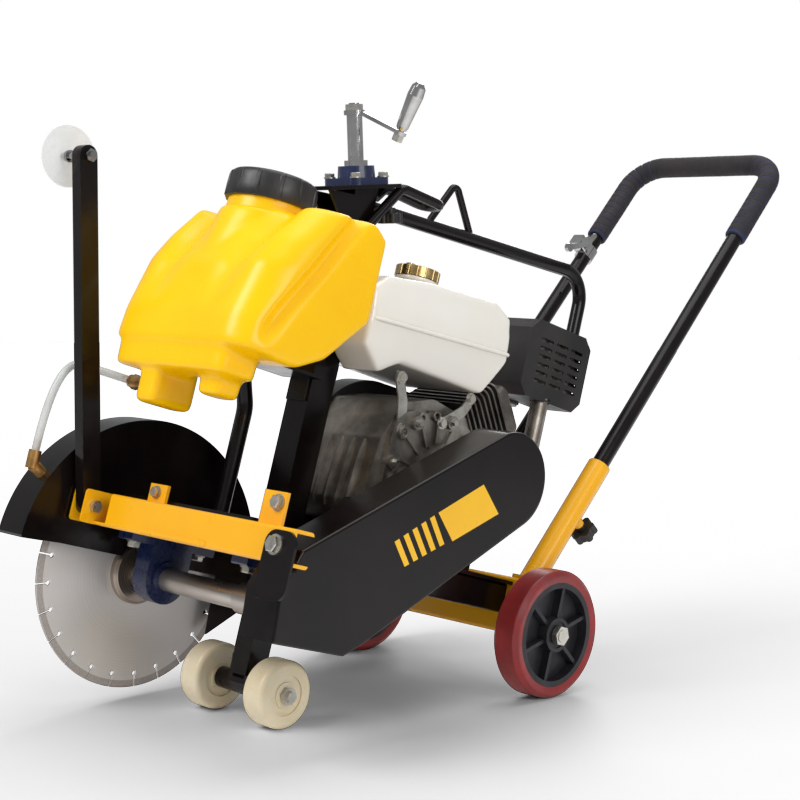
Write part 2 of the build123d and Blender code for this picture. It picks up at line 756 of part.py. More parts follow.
CASE_SIDE = [(96, 96), (330, 96), (342, 130), (330, 230), (300, 292), (236, 312), (150, 300), (112, 230)]
with BuildPart() as crankcase:
    with BuildSketch(side(92)):
        with BuildLine():
            Polyline(*CASE_SIDE, close=True)
        make_face()
    extrude(amount=152)
    fillet(crankcase.edges().filter_by(Axis.Y), 12)
    with BuildSketch(side(92)):
        with Locations((CRANK_X, CRANK_Z)):
            Circle(12.7 + FIT)
    extrude(amount=60, mode=Mode.SUBTRACT)
keep("crankcase", crankcase)

COVER_BOLTS = 7
with BuildPart() as case_cover:
    with BuildSketch(side(104)):
        with Locations((222, 198)):
            RectangleRounded(196, 176, 50)
    extrude(amount=12)
    with BuildSketch(side(118)):
        with Locations((CRANK_X, CRANK_Z)):
            Circle(42)
    extrude(amount=20)
    with BuildSketch(side(112)):
        with Locations((222, 198)):
            with PolarLocations(88, COVER_BOLTS):
                Circle(11)
        with Locations((276, 168)):
            Circle(30)
    extrude(amount=16)
    with BuildSketch(side(122)):
        with Locations((CRANK_X, CRANK_Z)):
            Circle(12.7 + FIT)
    extrude(amount=40, mode=Mode.SUBTRACT)
    with BuildSketch(side(108)):
        with Locations((CRANK_X, CRANK_Z)):
            with PolarLocations(32, 4, start_angle=45):
                Rectangle(26, 5)
    extrude(amount=4)
keep("crankcase_cover", case_cover)

bolt_solids = []
for turn in range(COVER_BOLTS):
    angle = 2 * math.pi * turn / COVER_BOLTS
    centre = (222 + 88 * math.cos(angle), 112, 198 + 88 * math.sin(angle))
    bolt_solids.append(hex_bolt(Plane(centre, x_dir=(1, 0, 0), z_dir=(0, 1, 0)), 6, 5))

with BuildPart() as crankshaft:
    with BuildSketch(side(256)):
        with Locations((CRANK_X, CRANK_Z)):
            Circle(12.7)
    extrude(amount=222)
    with BuildSketch(side(257)):
        with Locations((CRANK_X, CRANK_Z)):
            Circle(17)
    extrude(amount=4.5)
keep("engine_crankshaft", crankshaft)

CYL_TILT = math.radians(142)
CYL = (math.cos(CYL_TILT), 0, math.sin(CYL_TILT))
CYL_FOOT = (140.0, 20.0, 256.0)


def along_cylinder(distance):
    """Plane square to the tilted cylinder, that far up its axis."""
    origin = [CYL_FOOT[i] + CYL[i] * distance for i in range(3)]
    return Plane(origin, x_dir=(0, 1, 0), z_dir=CYL)


with BuildPart() as cylinder:
    with BuildSketch(along_cylinder(-6)):
        RectangleRounded(112, 108, 20)
    extrude(amount=116)
    for turn in range(8):
        with BuildSketch(along_cylinder(16 + turn * 11)):
            RectangleRounded(150, 138, 14)
        extrude(amount=3.5)
    with BuildSketch(side(92)):
        with BuildLine():
            Polyline(*CASE_SIDE, close=True)
        make_face()
    extrude(amount=152, mode=Mode.SUBTRACT)

with BuildPart() as rocker_cover:
    with BuildSketch(along_cylinder(110)):
        RectangleRounded(104, 88, 16)
    extrude(amount=34)
    fillet(rocker_cover.faces().sort_by(Axis(CYL_FOOT, CYL))[-1].edges(), 7)
group("engine_cylinder", [cylinder.part, rocker_cover.part])

with BuildPart() as fan_housing:
    with BuildSketch(side(-60)):
        with Locations((CRANK_X, CRANK_Z)):
            Circle(128)
        with Locations((150, 290)):
            RectangleRounded(130, 90, 20)
        with Locations((CRANK_X, 64)):
            Rectangle(300, 68, mode=Mode.SUBTRACT)
    extrude(amount=44)
keep("fan_housing", fan_housing)

ROPE = (-0.97, 0.0, 0.243)
ROPE_EYE = (CRANK_X - 102, -122, CRANK_Z + 34)
with BuildPart() as recoil:
    with BuildSketch(side(-104)):
        with Locations((CRANK_X, CRANK_Z)):
            Circle(98)
    extrude(amount=34)
    fillet(recoil.faces().sort_by(Axis.Y)[0].edges(), 10)
    with BuildSketch(side(-130)):
        with Locations((CRANK_X, CRANK_Z)):
            with PolarLocations(66, 10):
                SlotOverall(40, 8)
    extrude(amount=10, mode=Mode.SUBTRACT)
    with BuildSketch(Plane(ROPE_EYE, x_dir=(0, 1, 0), z_dir=ROPE)):
        RectangleRounded(24, 26, 5)
    extrude(amount=-26)
    with BuildSketch(Plane(ROPE_EYE, x_dir=(0, 1, 0), z_dir=ROPE)):
        Circle(3.2)
    extrude(amount=-24, mode=Mode.SUBTRACT)
keep("recoil_cover", recoil)

GRIP_PLANE = Plane(ROPE_EYE, x_dir=(0, 1, 0), z_dir=ROPE).offset(GAP)
with BuildPart() as recoil_grip:
    with BuildSketch(GRIP_PLANE):
        Circle(8)
    extrude(amount=10)
    with BuildSketch(GRIP_PLANE.offset(10)):
        RectangleRounded(30, 18, 6)
    extrude(amount=15)
    with BuildSketch(GRIP_PLANE):
        Circle(2.5)
    extrude(amount=-22)
keep("recoil_grip", recoil_grip)

TANK_SIDE = [(150, 340), (352, 344), (392, 318), (436, 350), (438, 440), (410, 462), (316, 478), (168, 490),
             (128, 470), (122, 400)]
with BuildPart() as fuel_tank:
    with BuildSketch(side(128)):
        with BuildLine():
            Polyline(*TANK_SIDE, close=True)
        make_face()
    extrude(amount=218)
    fillet(fuel_tank.edges().filter_by(Axis.Y), 14)
    fillet(fuel_tank.faces().sort_by(Axis.Y)[-1].edges(), 13)
    fillet(fuel_tank.faces().sort_by(Axis.Y)[0].edges(), 13)
    # rolled seam all round, and the filler neck
    with BuildSketch(Plane((280, 19, 414), x_dir=(1, 0, -0.07), z_dir=(0.07, 0, 1))):
        RectangleRounded(326, 226, 20)
    extrude(amount=3)
    with BuildSketch(top(470)):
        with Locations((288, 50)):
            Circle(30)
    extrude(amount=18)
    # the mast rises past the tank's front end
    with BuildSketch(top(300)):
        with Locations((420, -36)):
            Rectangle(92, 146)
    extrude(amount=220, mode=Mode.SUBTRACT)
keep("fuel_tank", fuel_tank)

with BuildPart() as fuel_cap:
    with BuildSketch(top(488 + GAP)):
        with Locations((288, 50)):
            Circle(35)
            with PolarLocations(35.5, 16):
                Circle(2.2, mode=Mode.SUBTRACT)
    extrude(amount=16)
    fillet(fuel_cap.faces().sort_by(Axis.Z)[-1].edges().filter_by(GeomType.CIRCLE), 1.0)
    with BuildSketch(top(504 + GAP)):
        with Locations((288, 50)):
            RectangleRounded(50, 12, 4)
    extrude(amount=4)
keep("fuel_cap", fuel_cap)

# ---------------------------------------------------------------- muffler, exhaust, air cleaner
MUFF_X = (-149.0, 12.0)
MUFF_Y = (-20.0, 62.0)
MUFF_Z = (375.0, 506.0)
PIPE_R = 14.5
with BuildPart() as muffler:
    with BuildSketch(side(52)):
        with Locations(((MUFF_X[0] + MUFF_X[1]) / 2, (MUFF_Z[0] + MUFF_Z[1]) / 2)):
            RectangleRounded(136, 106, 34)
    extrude(amount=60)
    with BuildSketch(top(377.3)):
        with Locations((-64, 40)):
            Rectangle(50, 40)
    extrude(amount=15)
    fillet(muffler.edges().group_by(Axis.Y)[-1], 6)

with BuildPart() as shield:
    centre_x = (MUFF_X[0] + MUFF_X[1]) / 2
    centre_z = (MUFF_Z[0] + MUFF_Z[1]) / 2
    with BuildSketch(side(MUFF_Y[1])) as shell_outline:
        with Locations((centre_x, centre_z)):
            Rectangle(MUFF_X[1] - MUFF_X[0], MUFF_Z[1] - MUFF_Z[0])
        chamfer(shell_outline.vertices(), 18)
    extrude(amount=MUFF_Y[1] - MUFF_Y[0])
    with BuildSketch(side(MUFF_Y[1] - 2)) as shell_inside:
        with Locations((centre_x, centre_z)):
            Rectangle(MUFF_X[1] - MUFF_X[0] - 4, MUFF_Z[1] - MUFF_Z[0] - 4)
        chamfer(shell_inside.vertices(), 17.2)
    extrude(amount=MUFF_Y[1] - MUFF_Y[0], mode=Mode.SUBTRACT)
    with BuildSketch(side(MUFF_Y[1])):
        with Locations((centre_x - 6, centre_z)):
            with GridLocations(40, 14, 3, 6):
                SlotOverall(32, 6)
    extrude(amount=2, mode=Mode.SUBTRACT)
    with BuildSketch(Plane((MUFF_X[0], 0, centre_z), x_dir=(0, 1, 0), z_dir=(1, 0, 0))):
        with Locations((21, 0)):
            with GridLocations(30, 14, 2, 5):
                SlotOverall(24, 6)
    extrude(amount=2, mode=Mode.SUBTRACT)
    with BuildSketch(top(MUFF_Z[0] - 5)):
        with Locations((-64, 46)):
            Circle(17)
    extrude(amount=12, mode=Mode.SUBTRACT)
    # tabs that hold the shield to the muffler's back
    for tab_z in (centre_z - 40, centre_z + 40):
        with BuildSketch(side(MUFF_Y[0] + 3)):
            with Locations((centre_x, tab_z)):
                Rectangle(30, 60)
            with Locations((centre_x, centre_z)):
                Rectangle(120, 96, mode=Mode.SUBTRACT)
        extrude(amount=3)
keep("muffler_shield", shield)

with BuildPart() as exhaust:
    with BuildLine() as exhaust_line:
        FilletPolyline((-64, 46, 377.3), (-64, 46, 266), (12, 46, 266), radius=34)
    with BuildSketch(Plane((-64, 46, 377.3), z_dir=(0, 0, -1))):
        Circle(PIPE_R)
        Circle(PIPE_R - 2, mode=Mode.SUBTRACT)
    sweep()
group("muffler", [muffler.part, exhaust.part])

with BuildPart() as air_cleaner:
    with BuildSketch(top(372)):
        with Locations((-40, -86)):
            RectangleRounded(150, 104, 26)
    extrude(amount=100)
    fillet(air_cleaner.faces().sort_by(Axis.Z)[-1].edges(), 14)
    with BuildSketch(top(340)):
        with Locations((8, -72)):
            Circle(24)
    extrude(amount=32)
keep("air_cleaner", air_cleaner)

# ---------------------------------------------------------------- water tank
TANK_MID = (TANK_Y[0] + TANK_Y[1]) / 2
CAP = (568.0, 4.0, 521.0)
with BuildPart() as water_tank:
    with BuildSketch(side(TANK_Y[1])):
        with BuildLine():
            Polyline((474, 372), (474, 488), (502, 504), (600, 502), (664, 410), (688, 330), (692, 284),
                     (640, 276), (578, 300), close=True)
        make_face()
    extrude(amount=TANK_Y[1] - TANK_Y[0])
    fillet(water_tank.edges().filter_by(Axis.Y), 10)
    for wall_y, foot_y in ((TANK_Y[1], 1), (TANK_Y[0], -1)):
        with BuildSketch(front(460)):
            with BuildLine():
                Polyline((wall_y + foot_y, 470), (wall_y + foot_y, 520), (wall_y - 60 * foot_y, 520),
                         (wall_y - 34 * foot_y, 506), close=True)
            make_face()
        extrude(amount=260, mode=Mode.SUBTRACT)
    with BuildSketch(top(246)):
        with Locations((633, 2)):
            RectangleRounded(86, 224, 16)
    extrude(amount=44)
    for boss_y, width, drop in ((-26, 138, 50), (76, 46, 28)):
        with BuildSketch(top(246 - drop)):
            with Locations((640, boss_y)):
                RectangleRounded(46, width, 10)
        extrude(amount=drop + 4)
    with BuildSketch(top(490)):
        with Locations(CAP[:2]):
            Circle(58)
    extrude(amount=CAP[2] - 490)
    with BuildSketch(top(470)):
        with Locations(CAP[:2]):
            Circle(50)
    extrude(amount=CAP[2] - 470, mode=Mode.SUBTRACT)
keep("water_tank", water_tank)

with BuildPart() as tank_cap:
    with BuildSketch(top(CAP[2] - 6)):
        with Locations(CAP[:2]):
            Circle(68)
            with PolarLocations(69, 36):
                Circle(3, mode=Mode.SUBTRACT)
    extrude(amount=42)
    with BuildSketch(top(CAP[2] - 6)):
        with Locations(CAP[:2]):
            Circle(58.5)
    extrude(amount=6 + GAP, mode=Mode.SUBTRACT)
keep("tank_cap", tank_cap)

with BuildPart() as shelf:
    # shelf under the tank's belly, welded to the mast's front face
    with BuildSketch(top(292)):
        with Locations((505, 0)):
            Rectangle(154, 90)
    extrude(amount=5)
    with BuildSketch(front(LEG_X + MAST_HALF)):
        with Locations((0, 276)):
            Rectangle(40, 36)
    extrude(amount=5)
frame_solids = [shelf.part]
for x, y in ((440.0, -100.0),):
    with BuildPart() as tank_post:
        with BuildLine():
            FilletPolyline((x, y, DECK_TOP), (x, y, 236), (x + 46, y, 352), radius=60)
        with BuildSketch(Plane((x, y, DECK_TOP), z_dir=(0, 0, 1))):
            Circle(12)
        sweep()
        with BuildSketch(top(DECK_TOP)):
            with Locations((x, y)):
                RectangleRounded(44, 40, 6)
        extrude(amount=5)
    frame_solids.append(tank_post.part)
group("tank_frame", frame_solids)

# ---------------------------------------------------------------- water outlet, hose and guard fitting
HOSE_D = 11.0
HOSE_BORE = 8.0
HOSE_POINTS = ((634.0, -134.0, 228.0), (640.0, -194.0, 236.0), (722.0, -204.0, 236.0), (718.0, -206.0, 98.0))


def corner_radii(points):
    """Bend radius at each inner point of a route, and the unit direction of every run."""
    runs = [math.dist(a, b) for a, b in zip(points, points[1:])]
    ways = [[(q - p) / run for p, q in zip(a, b)] for a, b, run in zip(points, points[1:], runs)]
    radii = []
    for first, second, way_in, way_out in zip(runs, runs[1:], ways, ways[1:]):
        turn = math.acos(sum(p * q for p, q in zip(way_in, way_out)))
        radii.append(0.45 * min(first, second) / math.tan(turn / 2))
    return radii, ways


hose_radii, hose_ways = corner_radii(HOSE_POINTS)
lead = hose_ways[0]
tail = hose_ways[-1]
HOSE_START = HOSE_POINTS[0]
HOSE_END = HOSE_POINTS[-1]
print("water hose radii", [round(r, 2) for r in hose_radii], "diameter", HOSE_D)
with BuildPart() as hose:
    with BuildLine() as hose_line:
        FilletPolyline(*HOSE_POINTS, radius=hose_radii)
    with BuildSketch(Plane(HOSE_START, z_dir=lead)):
        Circle(HOSE_D / 2)
        Circle(HOSE_BORE / 2, mode=Mode.SUBTRACT)
    sweep()
section = math.pi * (HOSE_D ** 2 - HOSE_BORE ** 2) / 4
print("water hose volume over section x length", round(hose.part.volume / section / hose_line.wire().length, 4))
print("water hose length", round(hose_line.wire().length, 1))
keep("water_hose", hose)

outlet_solids = []
with BuildPart() as outlet:
    with BuildSketch(Plane(HOSE_START, z_dir=[-c for c in lead])):
        Circle(HOSE_BORE / 2)
    extrude(amount=-18)
    with BuildSketch(Plane(HOSE_START, z_dir=[-c for c in lead])):
        Circle(9)
    extrude(amount=5)
    with BuildSketch(Plane(HOSE_START, z_dir=[-c for c in lead]).offset(5)):
        RegularPolygon(11, 6)
    extrude(amount=10)
    with BuildSketch(side(HOSE_START[1] + 10)):
        with Locations((634, 226)):
            Circle(10)
    extrude(amount=-(-96 - HOSE_START[1] - 10))
    with BuildSketch(top(196)):
        with Locations((640, -26)):
            RectangleRounded(46, 138, 10)
    extrude(amount=54, mode=Mode.SUBTRACT)
outlet_solids.append(outlet.part)

GUARD_ANGLE = math.radians(27)
with BuildPart() as fitting:
    rim_x = GUARD_X + (GUARD_R - 1) * math.cos(GUARD_ANGLE)
    rim_z = GUARD_Z + (GUARD_R - 1) * math.sin(GUARD_ANGLE)
    out = (math.cos(GUARD_ANGLE), 0, math.sin(GUARD_ANGLE))
    with BuildSketch(Plane((rim_x, BLADE_Y, rim_z), x_dir=(0, 1, 0), z_dir=out)):
        Circle(9)
    extrude(amount=20)
    with BuildSketch(Plane(HOSE_END, z_dir=[-c for c in tail])):
        Circle(9)
    extrude(amount=-26)
    with BuildSketch(Plane(HOSE_END, z_dir=[-c for c in tail])):
        Circle(HOSE_BORE / 2)
    extrude(amount=16)
    with BuildSketch(side(GUARD_Y[1] - 3)):
        with BuildLine():
            CenterArc((GUARD_X, GUARD_Z), GUARD_R, 0, 360)
        make_face()
    extrude(amount=GUARD_Y[1] - GUARD_Y[0] - 6, mode=Mode.SUBTRACT)
outlet_solids.append(fitting.part)
group("hose_fittings", outlet_solids)

# ---------------------------------------------------------------- roll bar, lifting bail, hand loop
TUBE_R = 12.0
BAR_START = (382.0, -38.0, 586.0)
BAR_CORNER = (-212.0, -38.0, 640.0)
with BuildPart() as roll_bar:
    with BuildLine():
        FilletPolyline(BAR_START, BAR_CORNER, (-212, -38, 480), (-8, -38, BEAM_Z[1] + 10), radius=52)
    with BuildSketch(Plane(BAR_START, z_dir=[b - a for a, b in zip(BAR_START, BAR_CORNER)])):
        Circle(TUBE_R)
    sweep()
    with BuildSketch(top(BEAM_Z[1])):
        with Locations((-6, -38)):
            RectangleRounded(44, 40, 5)
    extrude(amount=14)
    with BuildSketch(side(-MAST_HALF - GAP)):
        with Locations((392, 572)):
            Rectangle(40, 40)
    extrude(amount=5)
bar_solids = [roll_bar.part]

BAIL_R = 6.0
BAIL = ((206, -38, 603), (160, -38, 690), (98, -38, 613))
with BuildPart() as bail:
    with BuildLine():
        FilletPolyline(*BAIL, radius=10)
    with BuildSketch(Plane(BAIL[0], z_dir=[b - a for a, b in zip(BAIL[0], BAIL[1])])):
        Circle(BAIL_R)
    sweep()
    with BuildSketch(Plane(BAR_START, z_dir=[b - a for a, b in zip(BAR_START, BAR_CORNER)])):
        Circle(TUBE_R)
    extrude(amount=600, mode=Mode.SUBTRACT)
bar_solids.append(bail.part)
group("roll_bar", bar_solids)

LOOP_R = 8.0
with BuildPart() as hand_loop:
    with BuildLine():
        FilletPolyline((396, 31.5, 540), (350, 40, 616), (258, 44, 616), (258, 2, 616), (350, 2, 616),
                       (366, 2, 596), radius=18)
    with BuildSketch(Plane((396, 31.5, 540), z_dir=(-46, 8.5, 76))):
        Circle(LOOP_R)
    sweep()
    add(mast.part, mode=Mode.SUBTRACT)
keep("hand_loop", hand_loop)

# ---------------------------------------------------------------- handle sockets and handle
TILT = math.radians(SOCKET_LEAN)
UP = (-math.sin(TILT), 0.0, math.cos(TILT))
BACK = (-math.cos(TILT), 0.0, -math.sin(TILT))
SOCKET_LENGTH = 233.5
KNOB_AT = 132.0


def on_handle(y, s, back=0.0):
    """Point on one handle tube's axis, at that distance up from the socket's foot."""
    return (SOCKET_FOOT[0] + UP[0] * s + BACK[0] * back, y, SOCKET_FOOT[1] + UP[2] * s + BACK[2] * back)


socket_solids = []
for y in (SOCKET_Y, -SOCKET_Y):
    with BuildPart() as socket:
        with BuildSketch(Plane(on_handle(y, -12), z_dir=UP)):
            Circle(19)
        extrude(amount=SOCKET_LENGTH + 12)
        with BuildSketch(Plane(on_handle(y, KNOB_AT), z_dir=BACK)):
            Circle(9)
        extrude(amount=30)
        with BuildSketch(top(BEAM_Z[1] - 30)):
            with Locations((0, y)):
                Rectangle(160, 60)
        extrude(amount=30, mode=Mode.SUBTRACT)
        with BuildSketch(top(BEAM_Z[1])):
            with Locations((-2, y)):
                RectangleRounded(54, 38, 5)
        extrude(amount=6)
        with BuildSketch(Plane(on_handle(y, 6), z_dir=UP)):
            Circle(HANDLE_R + FIT)
        extrude(amount=SOCKET_LENGTH, mode=Mode.SUBTRACT)
        with BuildSketch(Plane(on_handle(y, KNOB_AT), z_dir=BACK)):
            Circle(4 + FIT)
        extrude(amount=40, mode=Mode.SUBTRACT)
    socket_solids.append(socket.part)
group("handle_sockets", socket_solids)

for tag, y in (("left", SOCKET_Y), ("right", -SOCKET_Y)):
    knob_plane = Plane(on_handle(y, KNOB_AT, 30 + GAP), z_dir=BACK)
    with BuildPart() as clamp_knob:
        add(star_knob(knob_plane, 22, 26))
        with BuildSketch(knob_plane):
            Circle(4)
        extrude(amount=-(30 - HANDLE_R))
    keep("handle_knob_" + tag, clamp_knob)

HANDLE_FOOT = 70.0
GRIP_START = 768.0
with BuildPart() as handle:
    with BuildLine() as handle_line:
        FilletPolyline(on_handle(SOCKET_Y, HANDLE_FOOT), on_handle(SOCKET_Y, HANDLE_REACH),
                       on_handle(-SOCKET_Y, HANDLE_REACH), on_handle(-SOCKET_Y, HANDLE_FOOT), radius=58)
    with BuildSketch(Plane(on_handle(SOCKET_Y, HANDLE_FOOT), z_dir=UP)):
        Circle(HANDLE_R)
        Circle(HANDLE_R - 2, mode=Mode.SUBTRACT)
    sweep()
keep("handle_tube", handle)

with BuildPart() as grip:
    with BuildLine() as grip_line:
        FilletPolyline(on_handle(SOCKET_Y, GRIP_START), on_handle(SOCKET_Y, HANDLE_REACH),
                       on_handle(-SOCKET_Y, HANDLE_REACH), on_handle(-SOCKET_Y, GRIP_START), radius=58)
    with BuildSketch(Plane(on_handle(SOCKET_Y, GRIP_START), z_dir=UP)):
        Circle(GRIP_R)
        Circle(HANDLE_R, mode=Mode.SUBTRACT)
    sweep()
keep("foam_grip", grip)

# ---------------------------------------------------------------- throttle control on the right tube
CLAMP_AT = 712.0
FRONT = (-BACK[0], 0.0, -BACK[2])
with BuildPart() as clamp:
    with BuildSketch(Plane(on_handle(-SOCKET_Y, CLAMP_AT), z_dir=UP)):
        Circle(HANDLE_R + 3.5)
        Circle(HANDLE_R, mode=Mode.SUBTRACT)
    extrude(amount=26)
    with BuildSketch(Plane(on_handle(-SOCKET_Y, CLAMP_AT + 13, -HANDLE_R - 2), x_dir=(0, 1, 0), z_dir=FRONT)):
        RectangleRounded(26, 22, 3)
    extrude(amount=24)
    with BuildSketch(Plane(on_handle(-SOCKET_Y + 13, CLAMP_AT + 13, -30), x_dir=FRONT, z_dir=(0, 1, 0))):
        Circle(10)
    extrude(amount=5)
    with BuildSketch(Plane(on_handle(-SOCKET_Y, CLAMP_AT + 13, -30), x_dir=FRONT, z_dir=(0, 1, 0))):
        Circle(4 + FIT)
    extrude(amount=20, mode=Mode.SUBTRACT)
keep("throttle_clamp", clamp)

LEVER_PLANE = Plane(on_handle(-SOCKET_Y + 18 + GAP, CLAMP_AT + 13, -30), x_dir=FRONT, z_dir=(0, 1, 0))
with BuildPart() as lever:
    with BuildSketch(LEVER_PLANE):
        Circle(12)
    extrude(amount=4)
    with BuildSketch(LEVER_PLANE):
        with Locations((14, 22)):
            SlotOverall(66, 10, rotation=52)
        with Locations((-4, -12)):
            SlotOverall(34, 9, rotation=80)
    extrude(amount=4)
    with BuildSketch(LEVER_PLANE.offset(-2)):
        with Locations((32, 45)):
            Circle(8)
    extrude(amount=8)
    with BuildSketch(LEVER_PLANE):
        Circle(4)
    extrude(amount=-18)
keep("throttle_lever", lever)

# thin cable from the lever's tail, down beside the tube and into it
CABLE_D = 4.0
CABLE_POINTS = (on_handle(-SOCKET_Y + 27, CLAMP_AT - 12, -26), on_handle(-SOCKET_Y + 26, CLAMP_AT - 50, -22),
                on_handle(-SOCKET_Y + 13, CLAMP_AT - 100, -12))
cable_radii, cable_ways = corner_radii(CABLE_POINTS)
print("throttle cable radii", [round(r, 2) for r in cable_radii], "diameter", CABLE_D)
with BuildPart() as cable:
    with BuildLine() as cable_line:
        FilletPolyline(*CABLE_POINTS, radius=cable_radii)
    with BuildSketch(Plane(CABLE_POINTS[0], z_dir=cable_ways[0])):
        Circle(CABLE_D / 2)
    sweep()
section = math.pi * CABLE_D ** 2 / 4
print("throttle cable volume over section x length", round(cable.part.volume / section / cable_line.wire().length, 4))
print("throttle cable length", round(cable_line.wire().length, 1))
keep("throttle_cable", cable)

# ---------------------------------------------------------------- top plate knob and fasteners
STOP_KNOB = Plane((352, 24, 584), x_dir=(1, 0, 0), z_dir=(-0.34, 0, -0.94))
with BuildPart() as stop_knob:
    add(star_knob(STOP_KNOB, 20, 24))
keep("stop_knob", stop_knob)

frame_bolts = [
    pivot.part,
    hex_bolt(Plane((CROSS_X[1] + 4, 259, 36), x_dir=(0, 1, 0), z_dir=(1, 0, 0)), 12, 8),
    hex_bolt(Plane((CROSS_X[0] + 5, 208, 92), x_dir=(0, 1, 0), z_dir=(1, 0, 0)), 10, 7),
    hex_bolt(Plane((CROSS_X[0] + 5, -54, 76), x_dir=(0, 1, 0), z_dir=(1, 0, 0)), 8, 6),
]
for y in BLOCK_Y:
    for x in (SPINDLE_X - 62, SPINDLE_X + 62):
        frame_bolts.append(hex_bolt(Plane((x, y, RAIL_Z[0] - 14), x_dir=(1, 0, 0), z_dir=(0, 0, -1)), 10, 7, 13.5))
for u in (-29.0, 29.0):
    for v in (-29.0, 29.0):
        seat = HEAD.offset(17)
        seat = Plane(seat.origin + seat.x_dir * u + seat.y_dir * v, x_dir=seat.x_dir, z_dir=seat.z_dir)
        frame_bolts.append(hex_bolt(seat, 8, 6))
group("frame_bolts", frame_bolts + bolt_solids)

# ---------------------------------------------------------------- pitch the machine and export
# The box round the pitched machine sits on the ground, centred under it.
SHIFT_X = 6.55
SHIFT_Y = -24.5
SHIFT_Z = WHEEL_R
pitch = Location((SHIFT_X, SHIFT_Y, SHIFT_Z), (0, -PITCH, 0))
os.makedirs("parts", exist_ok=True)
low = [1e9] * 3
high = [-1e9] * 3
for name, solid in pieces.items():
    placed = solid.moved(pitch)
    placed.label = name
    box = placed.bounding_box()
    low = [min(a, b) for a, b in zip(low, (box.min.X, box.min.Y, box.min.Z))]
    high = [max(a, b) for a, b in zip(high, (box.max.X, box.max.Y, box.max.Z))]
    export_step(placed, "parts/" + name + ".step")
print(len(pieces), "nodes; box", [round(v, 2) for v in low], [round(v, 2) for v in high])
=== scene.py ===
import math

import bmesh
import bpy
from mathutils import Matrix, Vector


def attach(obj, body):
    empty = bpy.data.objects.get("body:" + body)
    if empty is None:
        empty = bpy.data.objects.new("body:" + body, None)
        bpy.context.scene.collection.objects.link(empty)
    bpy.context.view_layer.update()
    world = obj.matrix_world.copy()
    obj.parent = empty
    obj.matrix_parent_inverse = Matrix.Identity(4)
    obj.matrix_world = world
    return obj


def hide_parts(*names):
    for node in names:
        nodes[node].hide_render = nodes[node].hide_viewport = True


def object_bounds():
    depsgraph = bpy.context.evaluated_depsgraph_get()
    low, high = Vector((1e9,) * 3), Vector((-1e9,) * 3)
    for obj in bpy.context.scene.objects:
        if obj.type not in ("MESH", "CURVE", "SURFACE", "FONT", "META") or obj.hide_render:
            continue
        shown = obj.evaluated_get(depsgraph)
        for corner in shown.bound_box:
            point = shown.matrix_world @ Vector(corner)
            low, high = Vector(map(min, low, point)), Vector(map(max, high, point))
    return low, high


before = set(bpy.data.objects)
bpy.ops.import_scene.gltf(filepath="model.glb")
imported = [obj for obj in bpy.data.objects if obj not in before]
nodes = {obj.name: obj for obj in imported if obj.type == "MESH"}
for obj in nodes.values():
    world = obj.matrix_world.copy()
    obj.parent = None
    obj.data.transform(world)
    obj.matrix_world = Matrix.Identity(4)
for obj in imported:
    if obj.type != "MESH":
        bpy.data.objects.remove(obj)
cad_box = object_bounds()

# The saw is drawn on its own level chassis in mm (x forward, y left, z up, rear axle at zero);
# PLACE takes that to the row frame in metres, with the machine pitched nose-up.
PITCH = math.radians(16)
PLACE = (Matrix.Translation((0.00655, -0.0245, 0.1)) @ Matrix.Rotation(-PITCH, 4, "Y")
         @ Matrix.Diagonal((0.001, 0.001, 0.001, 1)))


def at(x, y, z):
    return PLACE @ Vector((x, y, z))


# ---------------------------------------------------------------- materials
def new_material(name):
    m = bpy.data.materials.new(name)
    m.use_nodes = True
    tree = m.node_tree
    bsdf = tree.nodes["Principled BSDF"]
    coord = tree.nodes.new("ShaderNodeTexCoord")
    return m, tree, bsdf, coord.outputs["Object"]


def noise(tree, vector, scale, detail=4.0, rough=0.55):
    n = tree.nodes.new("ShaderNodeTexNoise")
    n.inputs["Scale"].default_value = scale
    n.inputs["Detail"].default_value = detail
    n.inputs["Roughness"].default_value = rough
    tree.links.new(vector, n.inputs["Vector"])
    return n.outputs["Fac"]


def ramp(tree, fac, stops):
    r = tree.nodes.new("ShaderNodeValToRGB")
    r.color_ramp.elements[0].position = stops[0][0]
    r.color_ramp.elements[0].color = (*stops[0][1], 1)
    r.color_ramp.elements[1].position = stops[-1][0]
    r.color_ramp.elements[1].color = (*stops[-1][1], 1)
    for place, colour in stops[1:-1]:
        e = r.color_ramp.elements.new(place)
        e.color = (*colour, 1)
    tree.links.new(fac, r.inputs["Fac"])
    return r.outputs["Color"]


def spread(tree, value, low, high, from_low=0.3, from_high=0.7):
    n = tree.nodes.new("ShaderNodeMapRange")
    n.inputs["From Min"].default_value = from_low
    n.inputs["From Max"].default_value = from_high
    n.inputs["To Min"].default_value = low
    n.inputs["To Max"].default_value = high
    tree.links.new(value, n.inputs["Value"])
    return n.outputs["Result"]


def blend_colour(tree, fac, a, b):
    n = tree.nodes.new("ShaderNodeMix")
    n.data_type = "RGBA"
    for socket, value in ((n.inputs["Factor"], fac), (n.inputs["A"], a), (n.inputs["B"], b)):
        if isinstance(value, (tuple, float, int)):
            socket.default_value = (*value, 1) if isinstance(value, tuple) else value
        else:
            tree.links.new(value, socket)
    return n.outputs["Result"]


def bump(tree, bsdf, heights):
    """Stack of (height, strength, distance) bumps into the shader's normal."""
    last = None
    for height, strength, distance in heights:
        n = tree.nodes.new("ShaderNodeBump")
        n.inputs["Strength"].default_value = strength
        n.inputs["Distance"].default_value = distance
        tree.links.new(height, n.inputs["Height"])
        if last:
            tree.links.new(last, n.inputs["Normal"])
        last = n.outputs["Normal"]
    tree.links.new(last, bsdf.inputs["Normal"])


